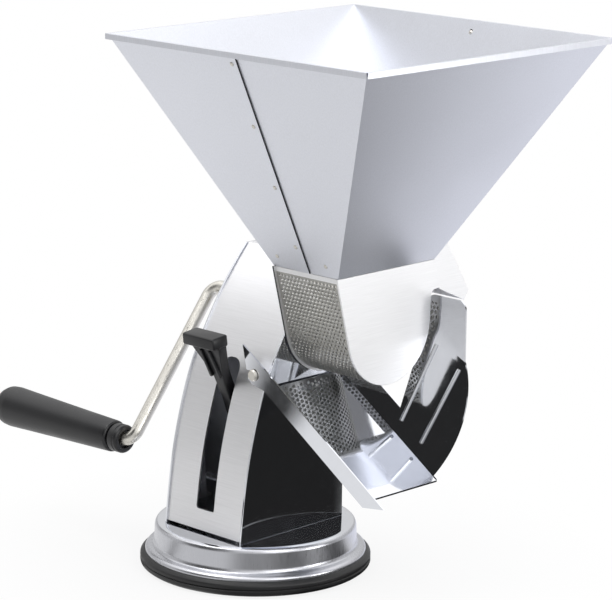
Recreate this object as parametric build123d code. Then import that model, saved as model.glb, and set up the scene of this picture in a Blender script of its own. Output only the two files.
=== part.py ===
"""Hand-cranked tomato strainer on a suction base, in millimetres.

A square hopper feeds a half-round perforated trough, in which a four-bladed
rotor presses the fruit through the holes.  Juice runs off down a polished
tray, and skins leave over the trough's back edge, under a hood.  A sheet-metal
column carries the rotor's shaft and stands on a base that a lever sucks down.

Axes: X runs along the shaft, away from the crank; -Y is the side with the
lever slot; Z is up.  The origin is the centre of the base, on the table.
"""
from build123d import *
import math
import os

# ---------------------------------------------------------------- base
pad_d = 140.0             # rubber suction pad, overall
pad_rim_h = 9.0           # height of its outer bead
pad_skin = 4.5            # membrane inside the bead
cup_d = 123.0             # spun steel cup above the pad
cup_top_z = 27.0          # flat top of the cup, where the column stands
cup_flare = 5.5           # how far its lower rim turns out
cup_flare_h = 4.5         # height of that flare
cup_crown_r = 3.0         # rounding between skirt and top
base_sheet = 1.2          # sheet of the cup

# ---------------------------------------------------------------- column
column_w = 62.0           # width of the front sheet, along X
column_sheet = 1.2        # sheet of every column plate
column_front_line = [     # front face seen from the side, (y, z) from foot to top
    (-44.0, 27.0),
    (-41.3, 50.0),
    (-37.2, 75.0),
    (-30.8, 100.0),
    (-21.3, 126.0),
    (-11.5, 144.0),
    (0.0, 162.0),
    (12.3, 178.0),
    (23.0, 190.0),
]
column_back_y = 42.0      # back face, upright all the way
column_top_z = 190.0      # flat top
front_lift = 1.5          # shadow gap under the front sheet
plate_proud = 0.9         # crank-side plate stands proud of the front
foot_w = 12.0             # turned-in feet of the side plates
foot_l = 56.0
slot_w = 15.0             # lever slot in the front
slot_low_z = 41.0
slot_high_z = 131.0
slot_top_r = 6.5
slot_low_r = 1.5
foot_screw_x = 25.0       # foot screws, from the centre
foot_screw_y = 20.0
screw_r = 2.0
screw_head_r = 3.8
screw_head_h = 2.4
screw_play = 0.1

# ---------------------------------------------------------------- shaft and trough
shaft_y = 26.0            # shaft axis
shaft_z = 157.0
trough_r = 34.0           # outside of the perforated trough
trough_sheet = 1.0
trough_lean = 14.5        # lean of its front wall, degrees from upright
trough_back_lean = 3.0    # and of its back wall
trough_x0 = column_w / 2 + column_sheet + 1.2   # crank-side end, behind one plate
trough_x1 = 82.8          # free end
trough_top_z = 188.5      # top of the front wall
skin_lip_z = 170.0        # top of the back wall, where skins leave
end_sheet = 1.2           # both end plates
end_margin = 0.8          # end plates stand out beyond the trough
back_flange = 1.6         # and the crank-side one a little more
ear_y = 69.4              # ear of the free end plate, beside the skin outlet
ear_z = 173.6
ear_fillet = 4.0
skin_head_z = 184.0       # top of the skin outlet
throat_z = 191.5          # top of the throat, where the hopper sits
throat_back_y = 63.5      # back of the throat
collar_sheet = 1.0
hole_pitch = 5.6          # strainer holes, along the sheet
hole_w = 3.2              # across flats
hole_top_z = 185.5        # plain sheet above this height
hole_margin = 3.0         # plain border at both ends
trough_rivet_r = 1.5
trough_rivet_places = [(12.0, 140.0), (36.0, 140.0), (35.0, 181.0)]

# ---------------------------------------------------------------- rotor and crank
shaft_r = 6.0
rod_r = 4.0               # bent crank rod
bush_r = 9.0
bush_flange_r = 12.0
bush_flange_t = 2.0
running_fit = 0.05        # radial, every turning fit
rotor_hub_r = 9.0
blade_count = 4
blade_t = 2.0
blade_gap = 1.3           # blade tip wiper to trough
wiper_t = 4.0
wiper_h = 9.0
rotor_end_gap = 3.2       # rotor to either end plate
nut_r = 7.0
nut_h = 5.0
rod_depth = 22.0          # crank rod inside the shaft
cross_pin_r = 1.5         # pin through shaft and rod
cross_pin_x = -16.0
arm_x = -65.0             # plane of the crank arm
bend_r = 8.0
arm_dy = -68.0            # from the shaft to the grip's spindle
arm_dz = -87.0
grip_x0 = -80.0           # inner end of the grip
grip_l = 104.7
grip_r_in = 9.8           # thin inner end
grip_r_out = 12.8         # fat outer end
ferrule_l = 9.0
ferrule_r = 8.8
grip_nut_bore = 7.0       # pocket for the push nut in the grip's end
grip_nut_depth = 16.0
push_nut_r = 6.0
push_nut_t = 1.5

# ---------------------------------------------------------------- lever and suction stem
pivot_z = 62.0            # lever pin, above the centre of the base
pin_r = 2.5
lever_rest = 64.6         # degrees above the horizontal, towards the front
lever_len = 99.0
cheek_r = 11.0
cheek_x0 = 3.2
cheek_x1 = 6.4
cheek_out = 18.0          # where the two cheeks join the arm
cam_r = 7.0
cam_throw = 3.0           # eccentricity that lifts the stem
cam_rest = -37.5          # where the cam points at rest, degrees
yoke_t = 5.6
yoke_wall = 3.0
yoke_play = 0.35
stem_r = 4.0
stem_plate_r = 24.0
stem_plate_t = 2.0
ear_t = 1.5               # lever bracket
ear_x = 8.2
bracket_l = 26.0

# ---------------------------------------------------------------- hopper
hopper_side = 205.0       # square mouth
hopper_x = 60.0           # its centre
hopper_y = 22.6
hopper_top_z = 325.0
hopper_wall = 1.0         # sheet, measured level
hopper_seat = 0.2         # gap at the throat
hem_out = 1.2             # folded hem round the mouth
hem_h = 3.2
hem_gap = 0.9             # open mitre at each corner
seam_x = 62.0             # edge of the outer sheet half
seam_lap = 8.0            # overlap of the halves
rivet_r = 1.25
rivet_head_r = 2.3
rivet_head_h = 0.9
spigot_drop = 2.8         # collar that reaches into the throat
spigot_rise = 6.0
spigot_play = 0.5
spigot_sheet = 0.8

# ---------------------------------------------------------------- tray, guard and hood
tray_sheet = 1.0
tray_x0 = 33.0            # against the column
tray_end_x = 112.0
tray_wall_end_x = 130.4   # tip of the front wall
tray_z = 119.5            # floor at the column
tray_fall = 0.66          # drop per length
tray_front_y = -26.0      # low wall
tray_back_y = 38.0        # fold of the high wall
tray_wall_h = 12.0
guard_y = 66.0            # upright part of the guard
guard_bend_h = 63.0       # height of its bend over the floor
guard_x0 = 77.0
guard_x1 = 107.3
guard_bulge = 9.5
guard_top_z = 169.5
guard_corner_r = 6.0
low_guard_h = 13.0
trough_clear = 2.2        # tray edge to trough
hook_x = 15.6             # tip of the hanging tongue
stud_x = 25.0
stud_z = 126.0
stud_r = 2.0
rib_r = 1.2               # beads pressed in the guard
rib_low_h = 8.0           # their ends, over the floor
rib_high_h = 57.0
guard_ribs = [(80.0, 87.5), (96.0, 105.5)]
hood_sheet = 1.0
hood_ridge_y = 74.0
hood_ridge_z = 203.5
hood_eave_y = 96.0
hood_eave_z = 168.0

seat = 0.3                # soft or moving pieces lie this far from their seats


# ================================================================ helpers
def yz_face(points):
    """Flat outline in the YZ plane from (y, z) corners."""
    return make_face(Polyline(*points, close=True))


def along_x(face, x0, x1):
    """Prism of a YZ outline between two X stations."""
    return extrude(Plane.YZ.offset(x0) * face, amount=x1 - x0)


def along_z(face, z0, z1):
    """Prism of an XY outline between two heights."""
    return extrude(Plane.XY.offset(z0) * face, amount=z1 - z0)


def block(x0, x1, y0, y1, z0, z1):
    """Upright box between two corners."""
    return Pos((x0 + x1) / 2, (y0 + y1) / 2, (z0 + z1) / 2) * Box(x1 - x0, y1 - y0, z1 - z0)


def rod_x(radius, x0, x1, y, z):
    """Round bar along X."""
    return Pos((x0 + x1) / 2, y, z) * (Rot(0, 90, 0) * Cylinder(radius, x1 - x0))


def rod_z(radius, z0, z1, x=0.0, y=0.0):
    """Round bar along Z."""
    return Pos(x, y, (z0 + z1) / 2) * Cylinder(radius, z1 - z0)


def spun(points):
    """Turned piece about the base's axis from (r, z) corners."""
    return revolve(Plane.XZ * make_face(Polyline(*points, close=True)), Axis.Z)


def frustum(low_size, low_centre, z_low, high_size, high_centre, z_high):
    """Solid pyramid stump between two level rectangles, with flat walls."""
    corners = []
    for size, centre, z in ((low_size, low_centre, z_low), (high_size, high_centre, z_high)):
        for sx, sy in ((-1, -1), (1, -1), (1, 1), (-1, 1)):
            corners.append((centre[0] + sx * size[0] / 2, centre[1] + sy * size[1] / 2, z))
    loops = [(3, 2, 1, 0), (4, 5, 6, 7)] + [(k, (k + 1) % 4, (k + 1) % 4 + 4, k + 4) for k in range(4)]
    walls = [Face(Wire.make_polygon([corners[n] for n in loop], close=True)) for loop in loops]
    return Part() + Solid(Shell(walls))


# ================================================================ base
def make_suction_pad():
    rim = pad_d / 2
    outline = [
        (0, 0),
        (rim - 1.5, 0),
        (rim, 2.0),
        (rim, pad_rim_h - 2.5),
        (rim - 2.0, pad_rim_h),
        (cup_d / 2 - 3.0, pad_rim_h),
        (cup_d / 2 - 6.0, pad_skin),
        (0, pad_skin),
    ]
    return spun(outline)


def cup_outline(inset):
    """Spun cup from its flared rim to the centre, moved inwards by inset."""
    side = cup_d / 2 - inset
    rim = cup_d / 2 + cup_flare - inset
    return [
        (rim, pad_rim_h),
        (rim, pad_rim_h + 1.0),
        (rim - 1.6, pad_rim_h + cup_flare_h - 1.5),
        (side, pad_rim_h + cup_flare_h + 1.0),
        (side - 0.6, cup_top_z - cup_crown_r),
        (side - cup_crown_r * 0.45, cup_top_z - inset - cup_crown_r * 0.35),
        (side - cup_crown_r * 1.4, cup_top_z - inset),
    ]


def make_base_cup():
    bore = stem_r + 2.0
    outer = cup_outline(0)
    inner = cup_outline(base_sheet)
    ring = outer + [(bore, cup_top_z), (bore, cup_top_z - base_sheet)] + inner[::-1]
    cup = spun(ring)
    for sx in (-1, 1):
        for sy in (-1, 1):
            hole = rod_z(screw_r + screw_play, 20, 32, sx * foot_screw_x, sy * foot_screw_y)
            cup -= hole
    return cup


# ================================================================ column
def front_line(inset):
    """Front profile in YZ, moved inwards by inset, from foot to top."""
    line = column_front_line
    moved = []
    for n, (y, z) in enumerate(line):
        before = line[max(n - 1, 0)]
        after = line[min(n + 1, len(line) - 1)]
        dy = after[0] - before[0]
        dz = after[1] - before[1]
        length = math.hypot(dy, dz)
        moved.append((y + inset * dz / length, z - inset * dy / length))
    moved[0] = (moved[0][0], line[0][1])
    moved[-1] = (moved[-1][0] + (line[-1][1] - moved[-1][1]) * dy / dz, line[-1][1])
    return moved


def column_outline(inset):
    """Side view of the column, with only its front moved in by inset."""
    line = front_line(inset)
    back_top = (column_back_y, column_top_z)
    back_foot = (column_back_y, cup_top_z)
    edges = [Spline(*line), Line(line[-1], back_top), Line(back_top, back_foot), Line(back_foot, line[0])]
    return make_face(edges)


def front_y(z):
    """Front face of the column at a height."""
    for (y0, z0), (y1, z1) in zip(column_front_line, column_front_line[1:]):
        if z0 <= z <= z1:
            return y0 + (y1 - y0) * (z - z0) / (z1 - z0)
    return column_back_y


def make_column_front():
    strip = column_outline(0) - column_outline(column_sheet)
    half = column_w / 2
    front = along_x(strip, -half, half)
    front -= block(-half, half, -80, 80, 0, cup_top_z + front_lift)
    slot_h = slot_high_z - slot_low_z
    opening = Pos(0, (slot_high_z + slot_low_z) / 2) * Rectangle(slot_w, slot_h)
    opening = fillet(opening.vertices().group_by(Axis.Y)[-1], slot_top_r)
    opening = fillet(opening.vertices().group_by(Axis.Y)[0], slot_low_r)
    front -= extrude(Plane.XZ.offset(-column_back_y) * opening, amount=100)
    front -= block(-half, half, column_back_y - column_sheet, column_back_y + 1, 0, 400)
    front -= rod_y(stud_r, stud_x, stud_z, -60, 60)
    return front


def rod_y(radius, x, z, y0, y1):
    """Round bar along Y."""
    return Pos(x, (y0 + y1) / 2, z) * (Rot(90, 0, 0) * Cylinder(radius, y1 - y0))


def make_side_plate(side, proud):
    """Side plate with its turned-in foot; side is -1 at the crank, +1 at the trough."""
    inner = side * column_w / 2
    outer = inner + side * column_sheet
    plate = along_x(column_outline(-proud), min(inner, outer), max(inner, outer))
    foot_x = inner - side * foot_w
    foot = block(min(foot_x, inner), max(foot_x, inner), -foot_l / 2, foot_l / 2,
                 cup_top_z, cup_top_z + column_sheet)
    plate += foot
    middle = (inner + outer) / 2
    plate -= rod_x(bush_r, middle - 5, middle + 5, shaft_y, shaft_z)
    for sy in (-1, 1):
        plate -= rod_z(screw_r + screw_play, 20, 40, side * foot_screw_x, sy * foot_screw_y)
    if side > 0:
        plate -= trough_rivet_holes()
    return plate


def make_column_back():
    """Upright back sheet, bent over at the top to close the column."""
    top = front_line(column_sheet)[-1]
    y1 = column_back_y
    y0 = y1 - column_sheet
    z1 = column_top_z
    outline = [(y0, cup_top_z + front_lift), (y1, cup_top_z + front_lift), (y1, z1),
               (top[0], z1), (top[0] - 0.6, z1 - column_sheet), (y0, z1 - column_sheet)]
    half = column_w / 2
    return along_x(yz_face(outline), -half, half)


def make_foot_screws():
    """Four pan-head screws with nuts that hold the column's feet to the cup."""
    floor_z = cup_top_z - base_sheet
    top = cup_top_z + column_sheet
    group = []
    for sx in (-1, 1):
        for sy in (-1, 1):
            x = sx * foot_screw_x
            y = sy * foot_screw_y
            head = rod_z(screw_head_r, top, top + screw_head_h, x, y)
            head = chamfer(head.edges().group_by(Axis.Z)[-1], 1.0)
            nut = along_z(Pos(x, y) * RegularPolygon(screw_head_r, 6), floor_z - 3.0, floor_z)
            screw = head + rod_z(screw_r, floor_z - 4.0, top, x, y) + nut
            group.append(screw)
    return Compound(children=group)


# ================================================================ lever and suction stem
def make_lever_bracket():
    z0 = cup_top_z
    base = block(-ear_x - ear_t, ear_x + ear_t, -bracket_l / 2, bracket_l / 2, z0, z0 + ear_t)
    ear_face = yz_face([(-9, z0), (9, z0), (6, pivot_z), (-6, pivot_z)])
    ear_face += Pos(0, pivot_z) * Circle(6.0)
    ears = along_x(ear_face, ear_x, ear_x + ear_t) + along_x(ear_face, -ear_x - ear_t, -ear_x)
    bracket = base + ears
    bracket -= rod_x(pin_r, -20, 20, 0, pivot_z)
    bracket -= rod_z(stem_r + 2.0, 20, 40)
    return bracket


def make_lever_pin():
    reach = ear_x + ear_t
    pin = rod_x(pin_r, -reach - 1.0, reach + 1.0, 0, pivot_z)
    heads = rod_x(pin_r + 1.2, -reach - 2.0, -reach, 0, pivot_z)
    heads += rod_x(pin_r + 1.2, reach, reach + 2.0, 0, pivot_z)
    return pin + heads


def make_stem_guide():
    """Flanged bush that guides the stem through the cup and bracket."""
    top = cup_top_z + ear_t
    bush = rod_z(stem_r + 2.0, cup_top_z - base_sheet - 2.0, top)
    bush += rod_z(stem_r + 4.0, top, top + 2.5)
    return bush - rod_z(stem_r + running_fit, 0, 60)


def make_guide_ring():
    """Ring pressed on the bush under the cup, which clamps cup and bracket."""
    top = cup_top_z - base_sheet
    ring = rod_z(stem_r + 5.0, top - 2.0, top)
    return ring - rod_z(stem_r + 2.0, 0, 60)


def cam_centre():
    angle = math.radians(cam_rest)
    return cam_throw * math.cos(angle), pivot_z + cam_throw * math.sin(angle)


def make_plunger_stem():
    """Suction stem: a yoke round the lever's cam, a rod and a pulling plate."""
    cam_y, cam_z = cam_centre()
    half_h = cam_r + yoke_play
    y0 = cam_y - cam_r - yoke_play
    y1 = cam_throw + cam_r + yoke_play
    window = block(-yoke_t, yoke_t, y0, y1, cam_z - half_h, cam_z + half_h)
    yoke = block(-yoke_t / 2, yoke_t / 2, y0 - yoke_wall, y1 + yoke_wall,
                 cam_z - half_h - yoke_wall, cam_z + half_h + yoke_wall)
    plate_z = pad_skin + seat
    stem = yoke - window
    neck_z = pivot_z - cheek_r - 4.5
    stem += block(-yoke_t / 2, yoke_t / 2, -stem_r, stem_r, neck_z - 1, cam_z - half_h - yoke_wall / 2)
    stem += rod_z(stem_r, plate_z, neck_z)
    disc = rod_z(stem_plate_r, plate_z, plate_z + stem_plate_t)
    stem += chamfer(disc.edges().group_by(Axis.Z)[-1], 0.8)
    return stem


def make_suction_lever():
    """Moulded lever: forked hub with its cam, tapering arm and wide thumb pad."""
    width = 2 * cheek_x1
    hub_face = Circle(cheek_r)
    hub_face += Pos(cheek_out / 2, 0) * Rectangle(cheek_out, 11.0)
    hub = along_x(hub_face, -cheek_x1, cheek_x1)
    hub -= along_x(Pos(0, 0) * Circle(cheek_out), -cheek_x0, cheek_x0)
    root = Plane(origin=(0, cheek_out - 2.0, 0), x_dir=(1, 0, 0), z_dir=(0, 1, 0))
    waist = Plane(origin=(0, lever_len * 0.50, 0), x_dir=(1, 0, 0), z_dir=(0, 1, 0))
    neck = Plane(origin=(0, lever_len * 0.66, 0), x_dir=(1, 0, 0), z_dir=(0, 1, 0))
    head = Plane(origin=(0, lever_len - 9.0, 1.5), x_dir=(1, 0, 0), z_dir=(0, 1, 0))
    arm = loft(Sketch() + [root * Rectangle(width, 11.0), waist * Rectangle(7.0, 8.0)], ruled=True)
    arm += loft(Sketch() + [waist * Rectangle(7.0, 8.0), neck * Rectangle(8.0, 7.0)], ruled=True)
    arm += loft(Sketch() + [neck * Rectangle(8.0, 7.0), head * Rectangle(25.0, 7.0)], ruled=True)
    pad = Pos(0, lever_len - 5.0, 2.5) * (Rot(-18, 0, 0) * Box(27.0, 8.0, 13.0))
    pad = chamfer(pad.edges(), 1.2)
    cam_y, cam_z = cam_centre()
    turn = 180.0 - lever_rest
    lever = Pos(0, 0, pivot_z) * (Rot(turn, 0, 0) * (hub + arm + pad))
    lever += rod_x(cam_r, -cheek_x0 - 0.2, cheek_x0 + 0.2, cam_y, cam_z)
    return lever - rod_x(pin_r + running_fit, -20, 20, 0, pivot_z)


# ================================================================ trough
def trough_front_top(radius, z):
    """Y of the trough's leaning front wall at a height, for one radius."""
    lean = math.radians(trough_lean)
    run = (z - shaft_z + radius * math.sin(lean)) / math.cos(lean)
    return shaft_y - radius * math.cos(lean) - run * math.sin(lean)


def trough_back_top(radius, z):
    """Y of the trough's back wall at a height, for one radius."""
    lean = math.radians(trough_back_lean)
    run = (z - shaft_z + radius * math.sin(lean)) / math.cos(lean)
    return shaft_y + radius * math.cos(lean) + run * math.sin(lean)


def round_point(radius, turn):
    """Point of the trough's round part; turn is in degrees from +Y towards +Z."""
    a = math.radians(turn)
    return shaft_y + radius * math.cos(a), shaft_z + radius * math.sin(a)


def trough_outline(radius, z_top):
    """Closed U outline: two leaning walls and a round bottom."""
    front_turn = 180.0 + trough_lean
    back_turn = 360.0 - trough_back_lean
    front = round_point(radius, front_turn)
    back = round_point(radius, back_turn)
    bottom = round_point(radius, 270.0)
    front_top = (trough_front_top(radius, z_top), z_top)
    back_top = (trough_back_top(radius, z_top), z_top)
    edges = [
        Line(front_top, front),
        ThreePointArc(front, round_point(radius, (front_turn + 270.0) / 2), bottom),
        ThreePointArc(bottom, round_point(radius, (270.0 + back_turn) / 2), back),
        Line(back, back_top),
        Line(back_top, front_top),
    ]
    return make_face(edges)


def make_trough_screen():
    outer = trough_outline(trough_r, trough_top_z)
    inner = trough_outline(trough_r - trough_sheet, trough_top_z + 1)
    wall = along_x(outer - inner, trough_x0, trough_x1)
    wall -= block(trough_x0 - 1, trough_x1 + 1, shaft_y, 90, skin_lip_z, 200)
    return wall - strainer_holes()


def strainer_front_len():
    """Length of the perforated part of the front wall."""
    lean = math.radians(trough_lean)
    return (hole_top_z - shaft_z + trough_r * math.sin(lean)) / math.cos(lean)


def strainer_arc_len():
    """Length of the round part."""
    return trough_r * math.radians(180.0 - trough_lean - trough_back_lean)


def trough_station(run):
    """Point and outward direction (degrees from +Y) at a run along the sheet, from its front top."""
    front_len = strainer_front_len()
    arc_len = strainer_arc_len()
    if run < front_len:
        z = hole_top_z - run * math.cos(math.radians(trough_lean))
        return trough_front_top(trough_r, z), z, 180.0 + trough_lean
    if run < front_len + arc_len:
        turn = 180.0 + trough_lean + math.degrees((run - front_len) / trough_r)
        y, z = round_point(trough_r, turn)
        return y, z, turn
    y, z = round_point(trough_r, 360.0 - trough_back_lean)
    z += (run - front_len - arc_len) * math.cos(math.radians(trough_back_lean))
    return trough_back_top(trough_r, z), z, 360.0 - trough_back_lean


def strainer_holes():
    """Six-sided holes in staggered rows round the trough."""
    total = strainer_front_len() + strainer_arc_len() + skin_lip_z - shaft_z - hole_margin
    row_step = hole_pitch * math.sqrt(3) / 2
    rows = int(total / row_step) + 1
    length = trough_x1 - trough_x0 - 2 * hole_margin
    count = int((length - hole_w) / hole_pitch)
    first = (trough_x0 + trough_x1) / 2 - (count - 0.5) * hole_pitch / 2
    pin = extrude(RegularPolygon(hole_w / 2, 6, major_radius=False), amount=3.0, both=True)
    pins = []
    for row in range(rows):
        y, z, turn = trough_station(row * row_step)
        a = math.radians(turn)
        out = Vector(0, math.cos(a), math.sin(a))
        for k in range(count):
            x = first + (k + 0.5 * (row % 2)) * hole_pitch
            pins.append(Plane(origin=(x, y, z), x_dir=(1, 0, 0), z_dir=out) * pin)
    return pins


def end_plate_outline(margin):
    """End plate of the trough, up to the throat."""
    radius = trough_r + margin
    return trough_outline(radius, throat_z)


def make_free_end_plate():
    """Plain U plate, with an ear beside the skin outlet."""
    face = end_plate_outline(end_margin)
    ear = yz_face([(shaft_y + 10, throat_z), (throat_back_y + collar_sheet, throat_z),
                   (ear_y, ear_z), (shaft_y + 10, ear_z - 0.2)])
    face += ear
    wall_y = trough_back_top(trough_r + end_margin, ear_z)
    inner = [v for v in face.vertices() if abs(v.X - wall_y) < 0.6 and abs(v.Y - ear_z) < 4.0]
    face = fillet(inner, ear_fillet)
    return along_x(face, trough_x1, trough_x1 + end_sheet)


def make_crank_end_plate():
    """Trough end plate at the column, with a narrow flange and the shaft hole."""
    face = end_plate_outline(back_flange)
    back = yz_face([(shaft_y, throat_z), (throat_back_y + collar_sheet, throat_z),
                    (throat_back_y + collar_sheet, skin_lip_z), (shaft_y, skin_lip_z)])
    face += back
    x1 = trough_x0
    plate = along_x(face, x1 - end_sheet, x1)
    plate -= rod_x(bush_r, x1 - 5, x1 + 5, shaft_y, shaft_z)
    return plate - trough_rivet_holes()


def make_throat_collar():
    """Band between the trough and the hopper, deeper at the back, over the skin outlet."""
    t = collar_sheet
    y0 = trough_front_top(trough_r, trough_top_z)
    y1 = throat_back_y
    ring = block(trough_x0, trough_x1, throat_y0, y1, trough_top_z, throat_z)
    ring -= block(trough_x0 + t, trough_x1 - t, y0 + t, y1 - t, 0, 400)
    ring &= along_x(trough_outline(trough_r, throat_z + 1), trough_x0, trough_x1) + block(
        trough_x0, trough_x1, shaft_y, y1, trough_top_z, throat_z)
    return ring + block(trough_x0, trough_x1, y1 - t, y1, skin_head_z, throat_z)


def make_trough_rivets():
    """Three rivets that hold the trough's plate to the column."""
    x0 = column_w / 2
    x1 = trough_x0
    group = []
    for y, z in trough_rivet_places:
        rivet = rod_x(trough_rivet_r, x0, x1, y, z)
        for a, b in ((x0 - 1.2, x0), (x1, x1 + 1.2)):
            rivet += rod_x(trough_rivet_r * 2, a, b, y, z)
        group.append(rivet)
    return Compound(children=group)


def trough_rivet_holes():
    """Holes for those rivets."""
    holes = [rod_x(trough_rivet_r, 20, 50, y, z) for y, z in trough_rivet_places]
    return Part() + holes


def make_bush(x0, x1, bore, flange_side):
    """Flanged bearing bush along X; the flange is outside the plate it sits in."""
    bush = rod_x(bush_r, x0, x1, shaft_y, shaft_z)
    if flange_side < 0:
        bush += rod_x(bush_flange_r, x0 - bush_flange_t, x0, shaft_y, shaft_z)
    else:
        bush += rod_x(bush_flange_r, x1, x1 + bush_flange_t, shaft_y, shaft_z)
    return bush - rod_x(bore + running_fit, x0 - 10, x1 + 10, shaft_y, shaft_z)


# ================================================================ rotor and crank
rotor_x0 = trough_x0 + bush_flange_t + rotor_end_gap
rotor_x1 = trough_x1 - rotor_end_gap
shaft_x0 = -column_w / 2 + 4.0
blade_tip_r = trough_r - trough_sheet - blade_gap


def make_drive_shaft():
    end = rotor_x1 - nut_h
    shaft = rod_x(shaft_r, shaft_x0, end, shaft_y, shaft_z)
    shaft -= rod_x(rod_r + 0.02, shaft_x0 - 1, shaft_x0 + rod_depth, shaft_y, shaft_z)
    return shaft - make_cross_pin()


def make_cross_pin():
    """Pin that locks the crank rod in the shaft."""
    return rod_z(cross_pin_r, shaft_z - shaft_r - 0.8, shaft_z + shaft_r + 0.8, cross_pin_x, shaft_y)


def make_shaft_nut():
    """Domed nut that holds the rotor on the shaft."""
    x0 = rotor_x1 - nut_h
    face = Plane.YZ.offset(x0) * (Pos(shaft_y, shaft_z) * RegularPolygon(nut_r, 6))
    nut = extrude(face, amount=nut_h)
    return chamfer(nut.faces().sort_by(Axis.X)[-1].edges(), 1.0)


def make_rotor_hub():
    """Ribbed hub and its four radial blades, one moulding."""
    x1 = rotor_x1 - nut_h
    hub = rod_x(rotor_hub_r, rotor_x0, x1, shaft_y, shaft_z)
    for k in range(blade_count):
        turn = 360.0 / blade_count * k + 45.0
        reach = blade_tip_r - wiper_h * 0.45
        blade = block(rotor_x0, rotor_x1, rotor_hub_r - 1.5, reach, -blade_t / 2, blade_t / 2)
        hub += Pos(0, shaft_y, shaft_z) * (Rot(turn, 0, 0) * blade)
    return hub - rod_x(shaft_r, rotor_x0 - 5, rotor_x1 + 5, shaft_y, shaft_z)


def make_wipers():
    """Soft strips on the blade tips, each a channel over its blade."""
    reach = blade_tip_r - wiper_h * 0.45
    group = []
    for k in range(blade_count):
        turn = 360.0 / blade_count * k + 45.0
        strip = block(rotor_x0, rotor_x1, blade_tip_r - wiper_h, blade_tip_r - 1.0,
                      -wiper_t / 2, wiper_t / 2)
        strip += block(rotor_x0, rotor_x1, blade_tip_r - 2.0, blade_tip_r, -0.9, 0.9)
        strip -= block(rotor_x0 - 1, rotor_x1 + 1, 0, reach, -blade_t / 2, blade_t / 2)
        group.append(Pos(0, shaft_y, shaft_z) * (Rot(turn, 0, 0) * strip))
    return Compound(children=group)


def make_crank_arm():
    """Bent rod: along the shaft, down the arm and out along the grip."""
    grip_y = shaft_y + arm_dy
    grip_z = shaft_z + arm_dz
    start = (shaft_x0 + rod_depth - 0.5, shaft_y, shaft_z)
    spindle_end = grip_x0 - grip_l + grip_nut_depth - push_nut_t - 1.0
    path = FilletPolyline(
        start,
        (arm_x, shaft_y, shaft_z),
        (arm_x, grip_y, grip_z),
        (spindle_end, grip_y, grip_z),
        radius=bend_r,
    )
    section = Plane(origin=start, z_dir=(-1, 0, 0)) * Circle(rod_r)
    return sweep(section, path) - make_cross_pin()


def make_rod_collar():
    """Stop collar on the crank rod, against the outer bush."""
    x1 = -column_w / 2 - column_sheet - bush_flange_t - seat
    collar = rod_x(rod_r + 3.0, x1 - 5.0, x1, shaft_y, shaft_z)
    return collar - rod_x(rod_r, x1 - 10, x1 + 10, shaft_y, shaft_z)


def make_grip():
    """Turned grip, fatter and rounded at its outer end, bored for the spindle."""
    y = shaft_y + arm_dy
    z = shaft_z + arm_dz
    x = grip_x0
    end = x - grip_l
    edges = [
        Line((x, 0), (x, grip_r_in - 1.0)),
        Line((x, grip_r_in - 1.0), (x - 1.0, grip_r_in)),
        Line((x - 1.0, grip_r_in), (end + 7.0, grip_r_out)),
        Line((end + 7.0, grip_r_out), (end + 1.9, grip_r_out - 1.9)),
        Line((end + 1.9, grip_r_out - 1.9), (end, grip_r_out - 5.2)),
        Line((end, grip_r_out - 5.2), (end, 0)),
        Line((end, 0), (x, 0)),
    ]
    body = revolve(make_face(edges), Axis.X)
    body -= rod_x(rod_r + running_fit, end + 1, x + 1, 0, 0)
    body -= rod_x(grip_nut_bore, end - 1, end + grip_nut_depth, 0, 0)
    return Pos(0, y, z) * body


def make_grip_plug():
    """Plug that closes the pocket in the grip's end."""
    y = shaft_y + arm_dy
    z = shaft_z + arm_dz
    end = grip_x0 - grip_l
    plug = rod_x(grip_nut_bore, end, end + 7.0, y, z)
    return chamfer(plug.edges().group_by(Axis.X)[0], 0.6)


def make_push_nut():
    """Push nut on the spindle's end that keeps the grip on."""
    y = shaft_y + arm_dy
    z = shaft_z + arm_dz
    x1 = grip_x0 - grip_l + grip_nut_depth - seat
    ring = rod_x(push_nut_r, x1 - push_nut_t, x1, y, z)
    return ring - rod_x(rod_r, x1 - 10, x1 + 10, y, z)


def make_grip_ferrule():
    """Collar fixed on the rod at the grip's inner end, flared where the rod bends."""
    y = shaft_y + arm_dy
    z = shaft_z + arm_dz
    x0 = grip_x0 + seat
    x1 = x0 + ferrule_l
    ring = rod_x(ferrule_r, x0, x1, y, z)
    ring = chamfer(ring.edges().filter_by(GeomType.CIRCLE), 1.2)
    ring -= rod_x(rod_r, x0 - 5, x1 + 5, y, z)
    bend_start = arm_x - bend_r
    mouth = rod_x(rod_r + 1.4, bend_start - 0.2, x1 + 5, y, z)
    return ring - mouth


# ================================================================ hopper
throat_x0 = trough_x0 - end_sheet
throat_x1 = trough_x1 + end_sheet
throat_y0 = trough_front_top(trough_r, throat_z)
mouth_low_x = throat_x1 - throat_x0
mouth_low_y = throat_back_y - throat_y0
low_centre = ((throat_x0 + throat_x1) / 2, (throat_y0 + throat_back_y) / 2)
hopper_low_z = throat_z + hopper_seat
hopper_rise = hopper_top_z - hopper_low_z


def hopper_solid(grow):
    """Pyramid stump of the hopper, each wall moved out level by grow."""
    low = (mouth_low_x + 2 * grow, mouth_low_y + 2 * grow)
    high = (hopper_side + 2 * grow, hopper_side + 2 * grow)
    return frustum(low, low_centre, hopper_low_z, high, (hopper_x, hopper_y), hopper_top_z)


def hopper_side_y(z, back):
    """Outer face of the front (or back) hopper wall at a height."""
    t = (z - hopper_low_z) / hopper_rise
    low = throat_back_y if back else throat_y0
    high = hopper_y + hopper_side / 2 if back else hopper_y - hopper_side / 2
    return low + (high - low) * t


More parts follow.
